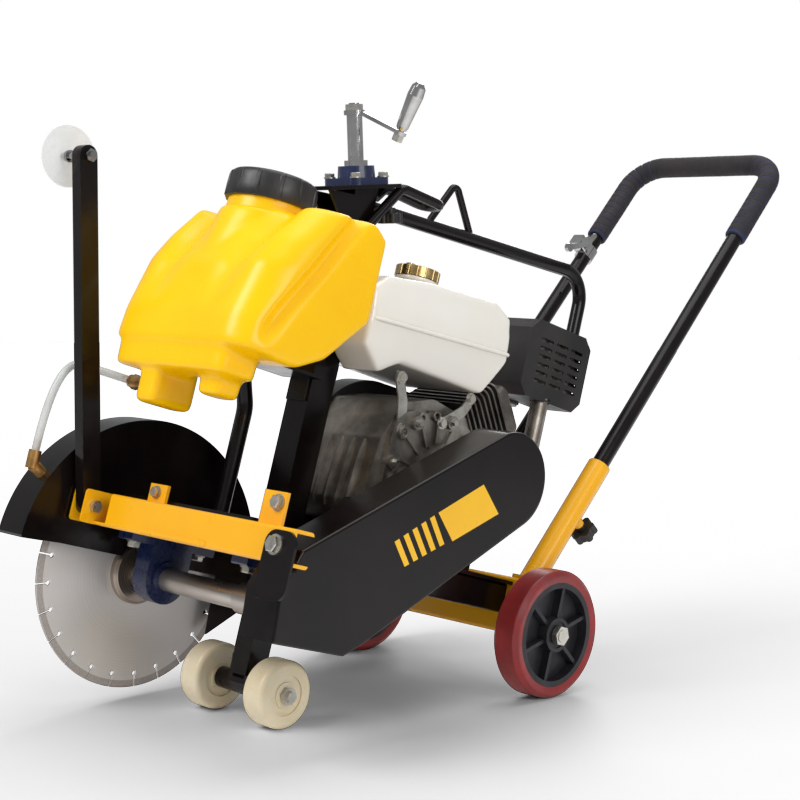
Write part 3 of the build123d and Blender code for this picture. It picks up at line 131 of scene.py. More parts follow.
def surface(name, light, dark, rough=(0.3, 0.5), metallic=0.0, scale=14.0, grain=260.0, grain_bump=0.15,
            wear=None, coat=0.0, ior=1.5, speck=None):
    """General finish: slow colour drift, roughness drift, fine grain bump and optional worn edges."""
    m, tree, bsdf, vec = new_material(name)
    slow = noise(tree, vec, scale, 5)
    fine = noise(tree, vec, grain, 3)
    colour = ramp(tree, slow, [(0.32, dark), (0.68, light)])
    if speck:
        dots = noise(tree, vec, grain * 2.2, 2, 0.7)
        mask = spread(tree, dots, 0, 0.75, 0.6, 0.72)
        colour = blend_colour(tree, mask, colour, speck)
    if wear:
        geo = tree.nodes.new("ShaderNodeNewGeometry")
        eased = tree.nodes.new("ShaderNodeBevel")
        eased.samples = 3
        eased.inputs["Radius"].default_value = 0.0014
        agree = tree.nodes.new("ShaderNodeVectorMath")
        agree.operation = "DOT_PRODUCT"
        tree.links.new(eased.outputs["Normal"], agree.inputs[0])
        tree.links.new(geo.outputs["Normal"], agree.inputs[1])
        edge = spread(tree, agree.outputs["Value"], 1, 0, 0.80, 0.97)
        breakup = spread(tree, noise(tree, vec, 120, 5, 0.7), 0, 0.8, 0.5, 0.66)
        both = tree.nodes.new("ShaderNodeMath")
        both.operation = "MULTIPLY"
        tree.links.new(edge, both.inputs[0])
        tree.links.new(breakup, both.inputs[1])
        colour = blend_colour(tree, both.outputs["Value"], colour, wear)
    tree.links.new(colour, bsdf.inputs["Base Color"])
    tree.links.new(spread(tree, noise(tree, vec, scale * 3, 6, 0.65), *rough), bsdf.inputs["Roughness"])
    bsdf.inputs["Metallic"].default_value = metallic
    bsdf.inputs["Coat Weight"].default_value = coat
    bsdf.inputs["Coat Roughness"].default_value = 0.08
    bsdf.inputs["IOR"].default_value = ior
    bump(tree, bsdf, [(slow, 0.06, 0.002), (fine, grain_bump, 0.0004)])
    return m


def turned(name, light, dark, centre, rough=(0.22, 0.4), rings=900.0, rim=None, rim_colour=None, metallic=0.9):
    """Metal turned about an axis along Y: fine concentric marks, with a darker outer band if asked."""
    m, tree, bsdf, vec = new_material(name)
    sub = tree.nodes.new("ShaderNodeVectorMath")
    sub.operation = "SUBTRACT"
    sub.inputs[1].default_value = centre
    tree.links.new(vec, sub.inputs[0])
    flat = tree.nodes.new("ShaderNodeVectorMath")
    flat.operation = "MULTIPLY"
    flat.inputs[1].default_value = (1, 0, 1)
    tree.links.new(sub.outputs["Vector"], flat.inputs[0])
    length = tree.nodes.new("ShaderNodeVectorMath")
    length.operation = "LENGTH"
    tree.links.new(flat.outputs["Vector"], length.inputs[0])
    radius = length.outputs["Value"]
    ring = tree.nodes.new("ShaderNodeTexNoise")
    ring.noise_dimensions = "1D"
    ring.inputs["Scale"].default_value = rings
    ring.inputs["Detail"].default_value = 5
    tree.links.new(radius, ring.inputs["W"])
    slow = noise(tree, vec, 9, 5)
    colour = ramp(tree, ring.outputs["Fac"], [(0.3, dark), (0.7, light)])
    colour = blend_colour(tree, spread(tree, slow, 0.0, 0.45, 0.35, 0.7), colour, dark)
    if rim:
        band = spread(tree, radius, 0, 1, rim - 0.0008, rim)
        shaded = tuple(c * 0.6 for c in rim_colour)
        grit = ramp(tree, noise(tree, vec, 700, 3, 0.7), [(0.35, shaded), (0.65, rim_colour)])
        colour = blend_colour(tree, band, colour, grit)
    tree.links.new(colour, bsdf.inputs["Base Color"])
    tree.links.new(spread(tree, slow, *rough), bsdf.inputs["Roughness"])
    bsdf.inputs["Metallic"].default_value = metallic
    bump(tree, bsdf, [(ring.outputs["Fac"], 0.12, 0.0003), (noise(tree, vec, 500, 2), 0.05, 0.0002)])
    return m


YELLOW = surface("paint_yellow", (0.95, 0.46, 0.003), (0.88, 0.41, 0.002), (0.24, 0.38), scale=6, grain=420,
                 grain_bump=0.12, wear=(0.30, 0.16, 0.05), coat=0.2)
BLACK = surface("paint_black", (0.008, 0.0052, 0.0048), (0.004, 0.0028, 0.0026), (0.12, 0.26), scale=8, grain=420,
                grain_bump=0.07, wear=(0.06, 0.05, 0.045), ior=1.34)
BLACK_MATT = surface("paint_black_heat", (0.022, 0.019, 0.018), (0.010, 0.009, 0.009), (0.38, 0.6), scale=12, grain=520,
                     grain_bump=0.3, wear=(0.08, 0.06, 0.05))
TANK = surface("tank_yellow_moulded", (1.0, 0.585, 0.0), (0.97, 0.53, 0.0), (0.24, 0.36), scale=5, grain=650,
               grain_bump=0.08, ior=1.40)
ZINC = surface("zinc_plate", (0.66, 0.64, 0.58), (0.42, 0.40, 0.36), (0.2, 0.42), 0.95, 30, 700, 0.12)
STEEL = surface("oiled_steel", (0.40, 0.36, 0.31), (0.20, 0.17, 0.145), (0.2, 0.45), 0.9, 25, 500, 0.18)
CHROME = surface("chrome_plate", (0.58, 0.57, 0.56), (0.36, 0.35, 0.34), (0.05, 0.13), 1.0, 20, 300, 0.03)
BLUE = surface("bearing_blue", (0.014, 0.026, 0.095), (0.006, 0.012, 0.05), (0.2, 0.4), scale=30, grain=300,
               grain_bump=0.25, coat=0.3)
CAST = surface("cast_aluminium", (0.44, 0.41, 0.37), (0.17, 0.155, 0.135), (0.28, 0.5), 0.85, 22, 340, 0.4,
               speck=(0.10, 0.09, 0.08))
CAST_DARK = surface("cast_aluminium_dark", (0.20, 0.18, 0.16), (0.05, 0.045, 0.04), (0.35, 0.6), 0.8, 20, 340, 0.4,
                    speck=(0.35, 0.33, 0.3))
IRON = surface("cast_iron_black", (0.028, 0.027, 0.032), (0.010, 0.010, 0.013), (0.35, 0.55), 0.2, 26, 420, 0.45)
WHITE = surface("tank_enamel", (0.88, 0.85, 0.79), (0.82, 0.78, 0.70), (0.10, 0.2), scale=4, grain=200,
                grain_bump=0.03, coat=0.6)
RED = surface("recoil_red", (0.42, 0.012, 0.012), (0.26, 0.006, 0.008), (0.2, 0.36), scale=10, grain=300,
              grain_bump=0.08, coat=0.4)
PLASTIC = surface("black_plastic", (0.020, 0.018, 0.018), (0.011, 0.010, 0.010), (0.32, 0.5), scale=16, grain=800,
                  grain_bump=0.35)
IVORY = surface("nylon_ivory", (0.86, 0.77, 0.58), (0.76, 0.64, 0.42), (0.26, 0.42), scale=14, grain=300,
                grain_bump=0.08, speck=(0.60, 0.48, 0.30))
IVORY.node_tree.nodes["Principled BSDF"].inputs["Subsurface Weight"].default_value = 0.15
IVORY.node_tree.nodes["Principled BSDF"].inputs["Subsurface Scale"].default_value = 0.004
TYRE = surface("tyre_red", (0.34, 0.022, 0.022), (0.19, 0.012, 0.014), (0.28, 0.5), scale=18, grain=500,
               grain_bump=0.2, speck=(0.07, 0.02, 0.02))
RUBBER = surface("belt_rubber", (0.018, 0.018, 0.018), (0.010, 0.010, 0.010), (0.5, 0.7), scale=20, grain=600,
                 grain_bump=0.3)
FOAM = surface("grip_foam", (0.024, 0.018, 0.020), (0.013, 0.011, 0.013), (0.72, 0.9), scale=18, grain=1300,
               grain_bump=0.8)
FOAM_BLUE = surface("grip_foam_blue", (0.018, 0.026, 0.085), (0.010, 0.014, 0.045), (0.6, 0.8), scale=18, grain=1200,
                    grain_bump=0.6)
BRASS = surface("brass_worn", (0.62, 0.36, 0.12), (0.34, 0.17, 0.06), (0.25, 0.45), 0.95, 40, 500, 0.2)
GOLD = surface("cap_gold", (0.60, 0.44, 0.20), (0.40, 0.27, 0.11), (0.16, 0.3), 1.0, 40, 500, 0.1)
SPINDLE_C = at(491, 0, -45)
BLADE = turned("blade_steel", (0.84, 0.81, 0.79), (0.74, 0.71, 0.70), SPINDLE_C, (0.34, 0.46), 700, 0.1675,
               (0.62, 0.57, 0.54), 0.55)
SHAFT = turned("spindle_steel", (0.62, 0.57, 0.52), (0.34, 0.30, 0.27), SPINDLE_C, (0.2, 0.4))
FLANGE = turned("flange_steel", (0.50, 0.43, 0.36), (0.24, 0.19, 0.16), SPINDLE_C, (0.2, 0.4), 500)


def clear(name, colour, rough, alpha):
    m, tree, bsdf, vec = new_material(name)
    slow = noise(tree, vec, 30, 4)
    dull = tuple(c * 0.88 for c in colour)
    tree.links.new(ramp(tree, slow, [(0.3, dull), (0.7, colour)]), bsdf.inputs["Base Color"])
    tree.links.new(spread(tree, slow, rough, rough + 0.15), bsdf.inputs["Roughness"])
    bsdf.inputs["IOR"].default_value = 1.42
    bsdf.inputs["Alpha"].default_value = alpha
    bump(tree, bsdf, [(noise(tree, vec, 200, 3), 0.1, 0.0004)])
    return m


HOSE = clear("clear_hose_wall", (0.86, 0.88, 0.86), 0.1, 0.55)
DISC = clear("pointer_disc_clear", (0.88, 0.89, 0.88), 0.2, 0.42)

FINISH = {
    "chassis_frame": BLACK, "front_crossbeam": YELLOW, "rear_axle_beam": YELLOW, "handle_sockets": YELLOW,
    "rear_axle": ZINC, "pillow_blocks": BLUE, "guide_mast": BLACK, "crank_bearing": BLUE, "tank_frame": BLACK,
    "roll_bar": BLACK, "hand_loop": BLACK, "belt_guard": BLACK, "blade_guard": BLACK, "crankcase": CAST,
    "crankcase_cover": CAST, "engine_cylinder": CAST_DARK, "fan_housing": PLASTIC, "recoil_cover": RED,
    "fuel_tank": WHITE, "muffler": STEEL, "muffler_shield": BLACK_MATT, "air_cleaner": PLASTIC, "water_tank": TANK,
    "hose_fittings": BRASS, "water_hose": HOSE, "frame_bolts": ZINC, "stop_knob": PLASTIC, "v_belts": RUBBER,
    "wheel_tyre_left": TYRE, "wheel_tyre_right": TYRE, "wheel_hub_left": IRON, "wheel_hub_right": IRON,
    "jack_leg": BLACK, "roller_axle": ZINC, "roller_left": IVORY, "roller_right": IVORY, "jack_screw": STEEL,
    "crank_column": CHROME, "crank_arm": CHROME, "crank_fasteners": ZINC, "crank_grip": CHROME,
    "spindle_shaft": SHAFT, "blade_clamp": FLANGE, "saw_blade": BLADE, "driven_pulley": IRON,
    "engine_crankshaft": STEEL, "drive_pulley": IRON, "recoil_grip": PLASTIC, "pointer_post": BLACK,
    "pointer_rod": CHROME, "pointer_disc": DISC, "handle_tube": BLACK, "foam_grip": FOAM, "throttle_clamp": CHROME,
    "throttle_cable": PLASTIC, "throttle_lever": CHROME, "handle_knob_left": PLASTIC, "handle_knob_right": PLASTIC,
    "tank_cap": PLASTIC, "fuel_cap": GOLD,
}
SHARP = {"saw_blade", "water_hose", "throttle_cable", "v_belts", "jack_screw", "pointer_disc"}
for name, obj in nodes.items():
    obj.data.materials.clear()
    obj.data.materials.append(FINISH[name])
    if name not in SHARP:
        soft = obj.modifiers.new("edge", "BEVEL")
        soft.width = 0.0007
        soft.segments = 2
        soft.limit_method = "ANGLE"
        soft.angle_limit = math.radians(40)
        soft.harden_normals = False


# ---------------------------------------------------------------- camera
def look(azimuth, elevation, roll):
    """Camera turn for a view from that side: right, up and backward directions as a matrix."""
    ahead = Vector((-math.sin(azimuth) * math.cos(elevation), -math.cos(azimuth) * math.cos(elevation),
                    -math.sin(elevation)))
    side = ahead.cross(Vector((0, 0, 1))).normalized()
    top = side.cross(ahead)
    right = side * math.cos(roll) + top * math.sin(roll)
    up = top * math.cos(roll) - side * math.sin(roll)
    return Matrix((right, up, -ahead)).transposed().to_4x4()


CAMERA_PLACE = (1.99815, 1.8495, 0.6767)
CAMERA_LENS = 75.14
CAMERA_AZIMUTH, CAMERA_ELEVATION, CAMERA_ROLL = 0.784, 0.083, 0.020
lens = bpy.data.cameras.new("camera")
lens.lens = CAMERA_LENS
lens.sensor_width = 36
lens.clip_start = 0.05
camera = bpy.data.objects.new("camera", lens)
bpy.context.collection.objects.link(camera)
camera.matrix_world = Matrix.Translation(CAMERA_PLACE) @ look(CAMERA_AZIMUTH, CAMERA_ELEVATION, CAMERA_ROLL)
bpy.context.scene.camera = camera


# ---------------------------------------------------------------- the two free cords
TILT = math.radians(28)
HANDLE_FOOT = Vector((-5, 0, 81))
UP = Vector((-math.sin(TILT), 0, math.cos(TILT)))
BACK = Vector((-math.cos(TILT), 0, -math.sin(TILT)))
SOCKET_Y = 158


def on_handle(y, along, back=0.0):
    """Point by one handle tube, that far up from its socket's foot and behind its axis."""
    p = HANDLE_FOOT + UP * along + BACK * back
    return (p.x, y, p.z)


def free_cord(name, points, diameter, material, body, node):
    curve = bpy.data.curves.new(name, "CURVE")
    curve.dimensions = "3D"
    spline = curve.splines.new("NURBS")
    spline.points.add(len(points) - 1)
    for control, place in zip(spline.points, points):
        control.co = (*at(*place), 1)
    spline.order_u = 3
    spline.use_endpoint_u = True
    spline.resolution_u = 24
    curve.bevel_depth = diameter / 2
    curve.bevel_resolution = 7
    curve.use_fill_caps = True
    curve.materials.append(material)
    piece = bpy.data.objects.new(name, curve)
    bpy.context.collection.objects.link(piece)
    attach(piece, body)
    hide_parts(node)
    return piece


HOSE_POINTS = ((634.0, -134.0, 228.0), (640.0, -194.0, 236.0), (722.0, -204.0, 236.0), (718.0, -206.0, 98.0))
hose = free_cord("hose_line", HOSE_POINTS, 0.011, HOSE, "chassis", "water_hose")

CLAMP_AT = 712
CABLE_POINTS = (on_handle(-SOCKET_Y + 27, CLAMP_AT - 12, -26), on_handle(-SOCKET_Y + 26, CLAMP_AT - 50, -22),
                on_handle(-SOCKET_Y + 13, CLAMP_AT - 100, -12))
cable = free_cord("throttle_line", CABLE_POINTS, 0.004, PLASTIC, "handle", "throttle_cable")
at(*CABLE_POINTS[0])


# ---------------------------------------------------------------- mesh helpers
def mesh_piece(name, bm, material, body, replaces=(), smooth=40):
    """Finish a bmesh made in chassis millimetres as a piece that rides on a body."""
    bm.transform(PLACE)
    bmesh.ops.recalc_face_normals(bm, faces=bm.faces)
    mesh = bpy.data.meshes.new(name)
    bm.to_mesh(mesh)
    bm.free()
    for m in material if isinstance(material, (list, tuple)) else [material]:
        mesh.materials.append(m)
    mesh.shade_smooth()
    if smooth < 180:
        mesh.set_sharp_from_angle(angle=math.radians(smooth))
    piece = bpy.data.objects.new(name, mesh)
    bpy.context.collection.objects.link(piece)
    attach(piece, body)
    if replaces:
        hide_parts(*replaces)
    return piece


def prism(bm, outline, low, high, axis="Y"):
    """Closed extrusion of an outline between two levels along an axis."""
    def corner(a, b, level):
        return (a, level, b) if axis == "Y" else (a, b, level)
    bottom = [bm.verts.new(corner(a, b, low)) for a, b in outline]
    top = [bm.verts.new(corner(a, b, high)) for a, b in outline]
    bm.faces.new(bottom)
    bm.faces.new(list(reversed(top)))
    for i in range(len(outline)):
        j = (i + 1) % len(outline)
        bm.faces.new((bottom[j], bottom[i], top[i], top[j]))


def circle(x, y, radius, count):
    turns = [2 * math.pi * i / count for i in range(count)]
    return [(x + radius * math.cos(a), y + radius * math.sin(a)) for a in turns]


def lathe(bm, profile, place, count=32):
    """Ring of a closed profile of (radius, height) turned about the local Z of a placement."""
    loops = [[bm.verts.new(place @ Vector((x, y, height))) for x, y in circle(0, 0, radius, count)]
             for radius, height in profile]
    for a, b in zip(loops, loops[1:] + loops[:1]):
        for i in range(count):
            bm.faces.new((a[i], a[i - 1], b[i - 1], b[i]))


def rounded(x, y, width, depth, radius, steps=6):
    """Rounded rectangle outline round a centre."""
    points = []
    for k, (sx, sy) in enumerate(((1, 1), (-1, 1), (-1, -1), (1, -1))):
        cx, cy = x + sx * (width / 2 - radius), y + sy * (depth / 2 - radius)
        for i in range(steps + 1):
            a = math.pi / 2 * (k + i / steps)
            points.append((cx + radius * math.cos(a), cy + radius * math.sin(a)))
    return points


def smoothstep(low, high, value):
    t = min(max((value - low) / (high - low), 0), 1)
    return t * t * (3 - 2 * t)


def applied(obj):
    """The object's mesh with its modifiers worked out, in place of the old one."""
    graph = bpy.context.evaluated_depsgraph_get()
    done = bpy.data.meshes.new_from_object(obj.evaluated_get(graph))
    obj.modifiers.clear()
    old = obj.data
    obj.data = done
    bpy.data.meshes.remove(old)


# ---------------------------------------------------------------- water tank
TANK_MID = 11.0
TANK_HALF = 159.5
NECK = (568.0, 4.0)
TANK_SIDE = ((474, 372), (474, 492), (502, 510), (600, 505), (642, 450), (667, 408), (689, 330), (693, 284),
             (641, 276), (578, 300))
GROOVE_BACK = 26.0
TANK_ROUND = 52.0
TANK_SLICES = 12


def groove_x(z):
    """How far forward the side groove runs at each height: it follows the tank's sloping front."""
    drop = (502 - z) / 211
    return 562 - GROOVE_BACK * (1 - smoothstep(0.3, 1.0, drop)) + 150 * drop - 58 * drop * drop


def drawn_back(outline, depth):
    """The outline with its front moved back by depth and its rear left where it is."""
    return [(x - depth * smoothstep(520, 610, x), z) for x, z in outline]


def cone(bm, low, high, count=48):
    """Closed solid between two level circles, each (x, y, z, radius)."""
    rings = [[bm.verts.new((a, b, z)) for a, b in circle(x, y, radius, count)] for x, y, z, radius in (low, high)]
    bm.faces.new(rings[0])
    bm.faces.new(list(reversed(rings[1])))
    for i in range(count):
        bm.faces.new((rings[0][i - 1], rings[0][i], rings[1][i], rings[1][i - 1]))


def fused(name, bm, voxel, passes, cut=None):
    """Blocks fused into one skin, less an object if asked, with their corners relaxed; all in millimetres."""
    bmesh.ops.recalc_face_normals(bm, faces=bm.faces)
    mesh = bpy.data.meshes.new(name)
    bm.to_mesh(mesh)
    bm.free()
    shell = bpy.data.objects.new(name, mesh)
    bpy.context.collection.objects.link(shell)
    if cut:
        less = shell.modifiers.new("cut", "BOOLEAN")
        less.object = cut
        less.operation = "DIFFERENCE"
    fuse = shell.modifiers.new("fuse", "REMESH")
    fuse.mode = "VOXEL"
    fuse.voxel_size = voxel
    relax = shell.modifiers.new("relax", "SMOOTH")
    relax.factor = 0.5
    relax.iterations = passes
    applied(shell)
    return shell


def tank_piece():
    bm = bmesh.new()
    for k in range(TANK_SLICES + 1):
        lean = math.pi / 2 * k / TANK_SLICES
        half = TANK_HALF - TANK_ROUND * (1 - math.sin(lean))
        prism(bm, drawn_back(TANK_SIDE, TANK_ROUND * (1 - math.cos(lean))), TANK_MID - half, TANK_MID + half)
    prism(bm, rounded(651, 4, 72, 246, 18), 245, 330, "Z")
    prism(bm, rounded(638, -41, 78, 46, 12), 195, 262, "Z")
    prism(bm, rounded(640, 78, 48, 46, 12), 217, 262, "Z")
    prism(bm, circle(634, 227, 15, 24), -97, -40)
    cone(bm, (647, 4, 335, 40), (569, 4, 499, 67))
    shell = fused("tank_shell", bm, 3.0, 24)
    # lobes each side of the bulge under the neck, and the side grooves
    for v in shell.data.vertices:
        x, y, z = v.co
        side = 1 if y > TANK_MID else -1
        across = abs(y - 4)
        front = smoothstep(515, 590, x)
        high = smoothstep(320, 480, z)
        centre = 84 - 14 * smoothstep(500, 420, z) if z < 500 else 84
        valley = math.exp(-((across - centre) / 22) ** 2) * front * high
        v.co -= Vector((0.8, 0, 0.6)) * 17 * valley
        outer = smoothstep(112, 150, abs(y - TANK_MID))
        lower = smoothstep(282, 335, z)
        groove = math.exp(-((x - groove_x(z)) / 12) ** 2) * outer * lower
        v.co.y -= side * 16 * groove
        nose = smoothstep(0, 44, x - groove_x(z)) * outer * lower
        v.co.y -= side * 3 * nose
    soften = shell.modifiers.new("soften", "SMOOTH")
    soften.factor = 0.5
    soften.iterations = 12
    finer = shell.modifiers.new("finer", "SUBSURF")
    finer.levels = 1
    finer.render_levels = 1
    applied(shell)
    bm = bmesh.new()
    bm.from_mesh(shell.data)
    bpy.data.objects.remove(shell)
    # turned neck under the cap
    rings = ((52, 490), (61, 490), (61.2, 503), (60.8, 504.5), (60.4, 506), (60.2, 521), (50, 521), (50, 500))
    lathe(bm, rings, Matrix.Translation((*NECK, 0)), 96)
    mesh_piece("tank_moulding", bm, TANK, "chassis", ["water_tank"], 60)


tank_piece()


# ---------------------------------------------------------------- foam grip
def bent(legs, radius, step):
    """Evenly spaced points along straight legs joined by arcs."""
    points = [Vector(p) for p in legs]
    line = [points[0]]
    for before, corner, after in zip(points, points[1:], points[2:]):
        a, b = (before - corner).normalized(), (after - corner).normalized()
        half = a.angle(b) / 2
        reach = radius / math.tan(half)
        middle = corner + (a + b).normalized() * radius / math.sin(half)
        start, end = corner + a * reach, corner + b * reach
        turn = math.pi - 2 * half
        axis = (start - middle).cross(end - middle).normalized()
        for i in range(17):
            line.append(middle + Matrix.Rotation(turn * i / 16, 3, axis) @ (start - middle))
    line.append(points[-1])
    even, spare, total = [line[0].copy()], step, 0.0
    for p, q in zip(line, line[1:]):
        run = (q - p).length
        at_run = spare
        while at_run < run:
            even.append(p.lerp(q, at_run / run))
            at_run += step
        spare = at_run - run
    even.append(line[-1].copy())
    return even


def tube(bm, line, radius_of, sides, material_of):
    """Skin rings of a given radius along a line of points, keeping the rings from twisting."""
    rings = []
    normal = None
    for i, p in enumerate(line):
        ahead = (line[min(i + 1, len(line) - 1)] - line[max(i - 1, 0)]).normalized()
        if normal is None:
            normal = ahead.orthogonal().normalized()
        normal = (normal - ahead * normal.dot(ahead)).normalized()
        other = ahead.cross(normal)
        r = radius_of(i)
        rings.append([bm.verts.new(p + (normal * math.cos(a) + other * math.sin(a)) * r)
                      for a in (2 * math.pi * k / sides for k in range(sides))])
    for i, (a, b) in enumerate(zip(rings, rings[1:])):
        for k in range(sides):
            face = bm.faces.new((a[k - 1], a[k], b[k], b[k - 1]))
            face.material_index = material_of(i)
    bm.faces.new(rings[0])
    bm.faces.new(list(reversed(rings[-1])))


GRIP_START = 768
HANDLE_REACH = 962
RIB = 15.0
RIBBED_END = 210.0
STEP = 0.75
GRIP_BEND = 58
GRIP_CORE = 14.6
GRIP_OUTSIDE = 19.2


def grip_piece():
    line = bent([on_handle(SOCKET_Y, GRIP_START), on_handle(SOCKET_Y, HANDLE_REACH),
                 on_handle(-SOCKET_Y, HANDLE_REACH), on_handle(-SOCKET_Y, GRIP_START)], GRIP_BEND, STEP)
    count = len(line)

    def radius_of(i):
        s = STEP * min(i, count - 1 - i)
        deep = 1.5 - 1.05 * smoothstep(RIBBED_END - 40, RIBBED_END + 40, s)
        groove = max(1 - abs((s / RIB) % 1 - 0.5) * RIB / 1.9, 0)
        ends = math.sqrt(max(1 - (1 - min(s / 5, 1)) ** 2, 0))
        uneven = 0.12 * math.sin(i * 0.051) * math.sin(i * 0.0173 + 1)
        return GRIP_CORE + (GRIP_OUTSIDE - GRIP_CORE - deep * groove + uneven) * (0.3 + 0.7 * ends)

    def material_of(i):
        s = STEP * min(i, count - 1 - i)
        in_groove = abs((s / RIB) % 1 - 0.5) * RIB < 0.9
        return 1 if s < 4 or (s < RIBBED_END and in_groove) else 0

    bm = bmesh.new()
    tube(bm, line, radius_of, 40, material_of)
    grip = mesh_piece("grip_sleeve", bm, [FOAM, FOAM_BLUE], "handle", ["foam_grip"], 180)


grip_piece()


# ---------------------------------------------------------------- painted marks on the belt guard
def decal(name, outlines):
    bm = bmesh.new()
    for outline in outlines:
        prism(bm, outline, GUARD_FACE, GUARD_FACE + 0.12)
    mesh_piece(name, bm, MARK, "chassis", (), 30)


MARK = surface("mark_yellow", (0.93, 0.52, 0.01), (0.86, 0.46, 0.008), (0.25, 0.38), scale=9, grain=500,
               grain_bump=0.06)
STRIPES = 5
GUARD_FACE = 262.02
stripe_low, stripe_high = Vector((397, 47)), Vector((427, 77))
run_low, run_high = Vector((320, 96)), Vector((353, 132))
stripes = []
for k in range(STRIPES):
    a = k / STRIPES
    b = (k + 0.52) / STRIPES
    stripes.append([tuple(stripe_low.lerp(run_low, a)), tuple(stripe_low.lerp(run_low, b)),
                    tuple(stripe_high.lerp(run_high, b)), tuple(stripe_high.lerp(run_high, a))])
decal("guard_stripes", stripes)
decal("guard_bar", [[(353, 132), (272, 189), (227, 154), (312, 98)]])


# ---------------------------------------------------------------- engine castings' smaller features
def frame_at(origin, normal):
    """Turn and move that takes +Z to a normal at a point."""
    return Matrix.Translation(origin) @ Vector(normal).to_track_quat("Z", "Y").to_matrix().to_4x4()


def strip(bm, line, width, thick, across):
    """Bent flat strip along a line, its width along a given direction."""
    across = Vector(across).normalized()
    points = [Vector(p) for p in line]
    rows = []
    for i, p in enumerate(points):
        ahead = (points[min(i + 1, len(points) - 1)] - points[max(i - 1, 0)]).normalized()
        up = ahead.cross(across).normalized()
        rows.append([bm.verts.new(p + across * (width / 2 * a) + up * (thick / 2 * b))
                     for a, b in ((1, 1), (-1, 1), (-1, -1), (1, -1))])
    for a, b in zip(rows, rows[1:]):
        for k in range(4):
            bm.faces.new((a[k - 1], a[k], b[k], b[k - 1]))
    bm.faces.new(rows[0])
    bm.faces.new(list(reversed(rows[-1])))


def hexagon(bm, place, across, height):
    corners = circle(0, 0, across / 1.732, 6)
    verts = [bm.verts.new(place @ Vector((x, y, level))) for level in (0, height) for x, y in corners]
    bm.faces.new(verts[:6])
    bm.faces.new(list(reversed(verts[6:])))
    for i in range(6):
        j = (i + 1) % 6
        bm.faces.new((verts[j], verts[i], verts[i + 6], verts[j + 6]))


def engine_trim():
    # ribs cast on the end cover between the shaft boss and its bolts
    bm = bmesh.new()
    for i in range(14):
        a = 2 * math.pi * (i + 0.25) / 14
        c, s = math.cos(a), math.sin(a)
        inner, outer = 44, 82 if i % 2 else 76
        centre = (222, 198)
        along = [(centre[0] + r * c, centre[1] + r * s) for r in (inner, outer)]
        side = (-s * 2.2, c * 2.2)
        (x0, z0), (x1, z1), (dx, dz) = along[0], along[1], side
        outline = [(x0 + dx, z0 + dz), (x1 + dx, z1 + dz), (x1 - dx, z1 - dz), (x0 - dx, z0 - dz)]
        prism(bm, outline, 103, 109)
    for x, z, r in ((300, 246, 10), (162, 262, 10), (286, 132, 9), (150, 142, 9), (238, 286, 8), (268, 276, 8)):
        lathe(bm, ((r, 0), (r, 13), (r - 1, 14), (r * 0.62, 14), (r * 0.55, 13), (r * 0.55, 0)),
              frame_at((x, 96, z), (0, 1, 0)))
    mesh_piece("cover_ribs", bm, CAST, "chassis", (), 30)
    # stays from the fuel tank down to the crankcase, bent from strip
    bm = bmesh.new()
    front_stay = ((322, 96, 334), (322, 99, 318), (312, 101, 296), (304, 101, 262), (303, 101, 244))
    rear_stay = ((168, 100, 338), (168, 104, 326), (182, 106, 306), (212, 106, 284), (226, 106, 276))
    strip(bm, front_stay, 20, 3, (1, 0, 0.1))
    strip(bm, rear_stay, 18, 3, (0.5, 0, 0.8))
    mesh_piece("tank_stays", bm, ZINC, "chassis", (), 30)
    bm = bmesh.new()
    for place in ((303, 102.5, 250), (224, 107.5, 278), (322, 100, 326), (168, 104, 330)):
        hexagon(bm, frame_at(place, (0, 1, 0)), 12, 6)
        lathe(bm, ((10, -0.4), (10, 1.2), (9.4, 1.8), (5, 1.8), (5, -0.4)), frame_at(place, (0, 1, 0)))
    mesh_piece("stay_bolts", bm, ZINC, "chassis", (), 30)
    # ribs on the crankcase's front and the oil filler plug
    bm = bmesh.new()
    for y in (-36, -12, 12, 36, 60):
        prism(bm, ((341, 118), (345.5, 132), (341, 196), (334, 226), (330, 226), (330, 118)), y - 2, y + 2)
    mesh_piece("case_ribs", bm, CAST, "chassis", (), 30)
    bm = bmesh.new()
    lathe(bm, ((0.5, 0), (12, 0), (12, 5), (15, 6), (15.6, 8), (15.6, 14), (14, 16), (5, 16.5), (0.5, 16.5)),
          frame_at((338, 72, 116), (1, 0, 0.25)))
    mesh_piece("oil_plug", bm, PLASTIC, "chassis", (), 30)


engine_trim()


# ---------------------------------------------------------------- water cap
CAP_FOOT = 515.0
CAP_RIBS = 12


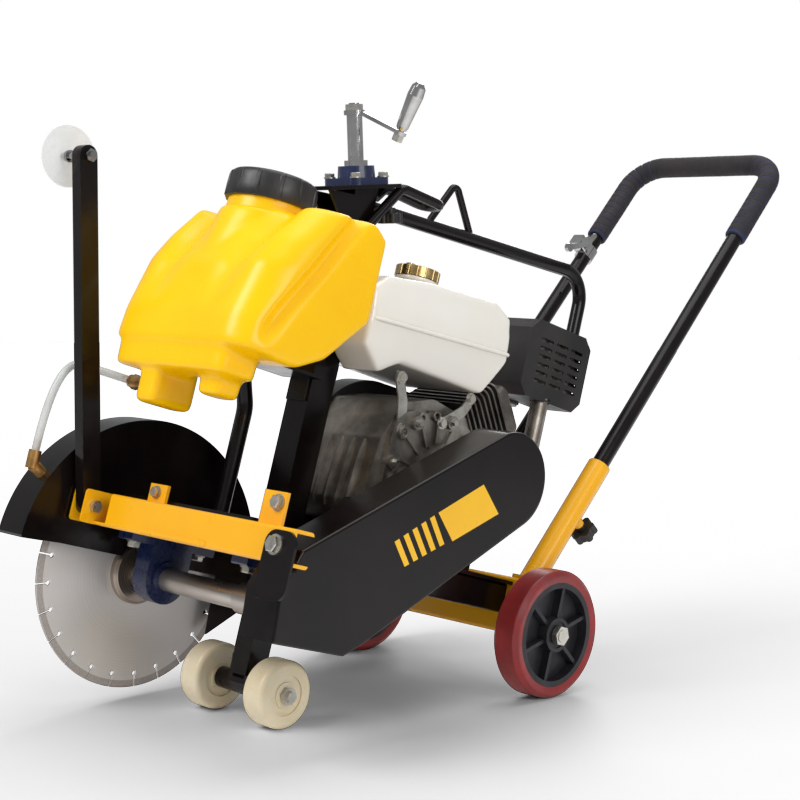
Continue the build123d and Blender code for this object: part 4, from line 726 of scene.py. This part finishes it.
def cap_piece():
    count = 360
    profile = ((59.2, 0, 0), (66.0, 0, 1), (66.8, 1.2, 1), (66.6, 18, 1), (65.8, 33, 1), (64.4, 37.5, 0.8),
               (61.0, 40.6, 0), (57.0, 41.6, 0), (54.0, 41.2, 0), (52.0, 38.6, 0), (46.0, 38.0, 0), (20.0, 38.6, 0),
               (7.0, 39.4, 0), (5.0, 38.6, 0))
    bm = bmesh.new()
    rings = []
    for radius, height, ribbed in profile:
        ring = []
        for i in range(count):
            a = 2 * math.pi * i / count
            near = abs(((a * CAP_RIBS / (2 * math.pi)) + 0.5) % 1 - 0.5) * 2 * math.pi / CAP_RIBS * radius
            rib = 1 - smoothstep(2.2, 3.6, near)
            r = radius + ribbed * (1.8 * rib - 1.0)
            ring.append(bm.verts.new((NECK[0] + r * math.cos(a), NECK[1] + r * math.sin(a), CAP_FOOT + height)))
        rings.append(ring)
    for a, b in zip(rings, rings[1:]):
        for i in range(count):
            bm.faces.new((a[i - 1], a[i], b[i], b[i - 1]))
    bm.faces.new(rings[-1])
    inner = [bm.verts.new((v.co.x, v.co.y, CAP_FOOT + 6)) for v in rings[0]]
    for i in range(count):
        bm.faces.new((inner[i - 1], inner[i], rings[0][i], rings[0][i - 1]))
    bm.faces.new(list(reversed(inner)))
    mesh_piece("cap_moulding", bm, PLASTIC, "water_cap", ["tank_cap"], 50)


cap_piece()


# ---------------------------------------------------------------- fuel tank
FUEL_SIDE = ((152, 340), (350, 342), (392, 318), (434, 352), (436, 438), (410, 460), (316, 476), (168, 487),
             (130, 470), (124, 400))
FUEL_Y = (-88.0, 126.0)
FUEL_MID = (281.0, 19.0)


def seam_z(x):
    return 402 - 0.07 * (x - 280)


def fuel_tank_piece():
    bm = bmesh.new()
    prism(bm, FUEL_SIDE, *FUEL_Y)
    # the guide mast takes up the tank's front right corner
    corner = bmesh.new()
    prism(corner, ((373, -140), (470, -140), (470, 38), (373, 38)), 290, 530, "Z")
    bmesh.ops.recalc_face_normals(corner, faces=corner.faces)
    notch_mesh = bpy.data.meshes.new("mast_notch")
    corner.to_mesh(notch_mesh)
    corner.free()
    notch = bpy.data.objects.new("mast_notch", notch_mesh)
    bpy.context.collection.objects.link(notch)
    shell = fused("fuel_shell", bm, 3.2, 30, notch)
    bpy.data.objects.remove(notch)
    for v in shell.data.vertices:
        x, y, z = v.co
        below = smoothstep(2, 90, seam_z(x) - z)
        v.co.y += (FUEL_MID[1] - y) * 0.10 * below
        v.co.x += (FUEL_MID[0] - x) * 0.05 * below
        above = smoothstep(10, 75, z - seam_z(x))
        v.co.y += (FUEL_MID[1] - y) * 0.06 * above
    bm = bmesh.new()
    bm.from_mesh(shell.data)
    bpy.data.objects.remove(shell)
    # rolled seam, sunk a little way into the shell all round
    outline = [(120.5, -86), (374.5, -86), (374.5, 38), (432, 38), (432, 127), (120.5, 127)]
    path = []
    for i, corner in enumerate(outline):
        before, after = outline[i - 1], outline[(i + 1) % len(outline)]
        c = Vector(corner)
        a, b = (Vector(before) - c).normalized() * 22, (Vector(after) - c).normalized() * 22
        for k in range(9):
            t = k / 8
            q = (c + a) * (1 - t) ** 2 + c * 2 * t * (1 - t) + (c + b) * t * t
            path.append((q.x, q.y))
    lip = ((-3.5, -3.2), (2.2, -3.2), (4.2, -1.9), (4.8, 0), (4.2, 1.9), (2.2, 3.2), (-3.5, 3.2))
    rows = []
    for i, (x, y) in enumerate(path):
        before, after = Vector(path[i - 1]), Vector(path[(i + 1) % len(path)])
        along = (after - before).normalized()
        outward = Vector((along.y, -along.x))
        rows.append([bm.verts.new((x + outward.x * u, y + outward.y * u, seam_z(x) + w)) for u, w in lip])
    for i, row in enumerate(rows):
        last = rows[i - 1]
        for k in range(len(lip)):
            bm.faces.new((last[k - 1], last[k], row[k], row[k - 1]))
    # filler neck and its rolled collar
    neck = ((29, 468), (29, 482), (33, 483), (34, 485), (33, 487.5), (26, 487.5), (26, 468))
    lathe(bm, neck, Matrix.Translation((288, 50, 0)), 64)
    mesh_piece("fuel_shell_enamel", bm, WHITE, "chassis", ["fuel_tank"], 50)


fuel_tank_piece()


# ---------------------------------------------------------------- floor and studio light
def floor_piece():
    bm = bmesh.new()
    level = cad_box[0][2] - 0.0004
    corners = [bm.verts.new((x, y, level)) for x, y in ((-9, -9), (9, -9), (9, 9), (-9, 9))]
    bm.faces.new(corners)
    mesh = bpy.data.meshes.new("floor")
    bm.to_mesh(mesh)
    bm.free()
    pale, tree, bsdf, vec = new_material("studio_floor")
    tree.links.new(ramp(tree, noise(tree, vec, 1.5, 2), [(0.3, (0.90, 0.90, 0.90)), (0.7, (0.93, 0.93, 0.93))]),
                   bsdf.inputs["Base Color"])
    bsdf.inputs["Roughness"].default_value = 0.55
    mesh.materials.append(pale)
    floor = bpy.data.objects.new("floor", mesh)
    bpy.context.collection.objects.link(floor)
    floor.is_shadow_catcher = True


floor_piece()

world = bpy.data.worlds.new("studio")
world.use_nodes = True
ambient = world.node_tree.nodes["Background"]
ambient.inputs["Color"].default_value = (0.96, 0.98, 1.0, 1)
ambient.inputs["Strength"].default_value = 0.38
backdrop = world.node_tree.nodes.new("ShaderNodeBackground")
backdrop.inputs["Color"].default_value = (1, 1, 1, 1)
backdrop.inputs["Strength"].default_value = 1.0
which = world.node_tree.nodes.new("ShaderNodeLightPath")
either = world.node_tree.nodes.new("ShaderNodeMixShader")
world.node_tree.links.new(which.outputs["Is Camera Ray"], either.inputs["Fac"])
world.node_tree.links.new(ambient.outputs["Background"], either.inputs[1])
world.node_tree.links.new(backdrop.outputs["Background"], either.inputs[2])
world.node_tree.links.new(either.outputs["Shader"], world.node_tree.nodes["World Output"].inputs["Surface"])
bpy.context.scene.world = world
bpy.context.scene.view_settings.view_transform = "Standard"


def softbox(name, place, target, size, power):
    light = bpy.data.lights.new(name, "AREA")
    light.shape = "RECTANGLE"
    light.size, light.size_y = size
    light.energy = power
    lamp = bpy.data.objects.new(name, light)
    bpy.context.collection.objects.link(lamp)
    lamp.location = place
    lamp.rotation_euler = (Vector(target) - Vector(place)).to_track_quat("-Z", "Y").to_euler()


softbox("key", (2.6, -0.6, 2.6), (0, 0, 0.4), (1.6, 1.6), 62)
softbox("fill", (0.6, 2.9, 1.6), (0, 0, 0.4), (1.8, 1.2), 32)
softbox("top", (-0.4, 0.2, 3.2), (0, 0, 0.3), (2.4, 2.4), 46)
softbox("rim", (-2.4, -1.6, 2.0), (0, 0, 0.4), (1.2, 1.6), 26)
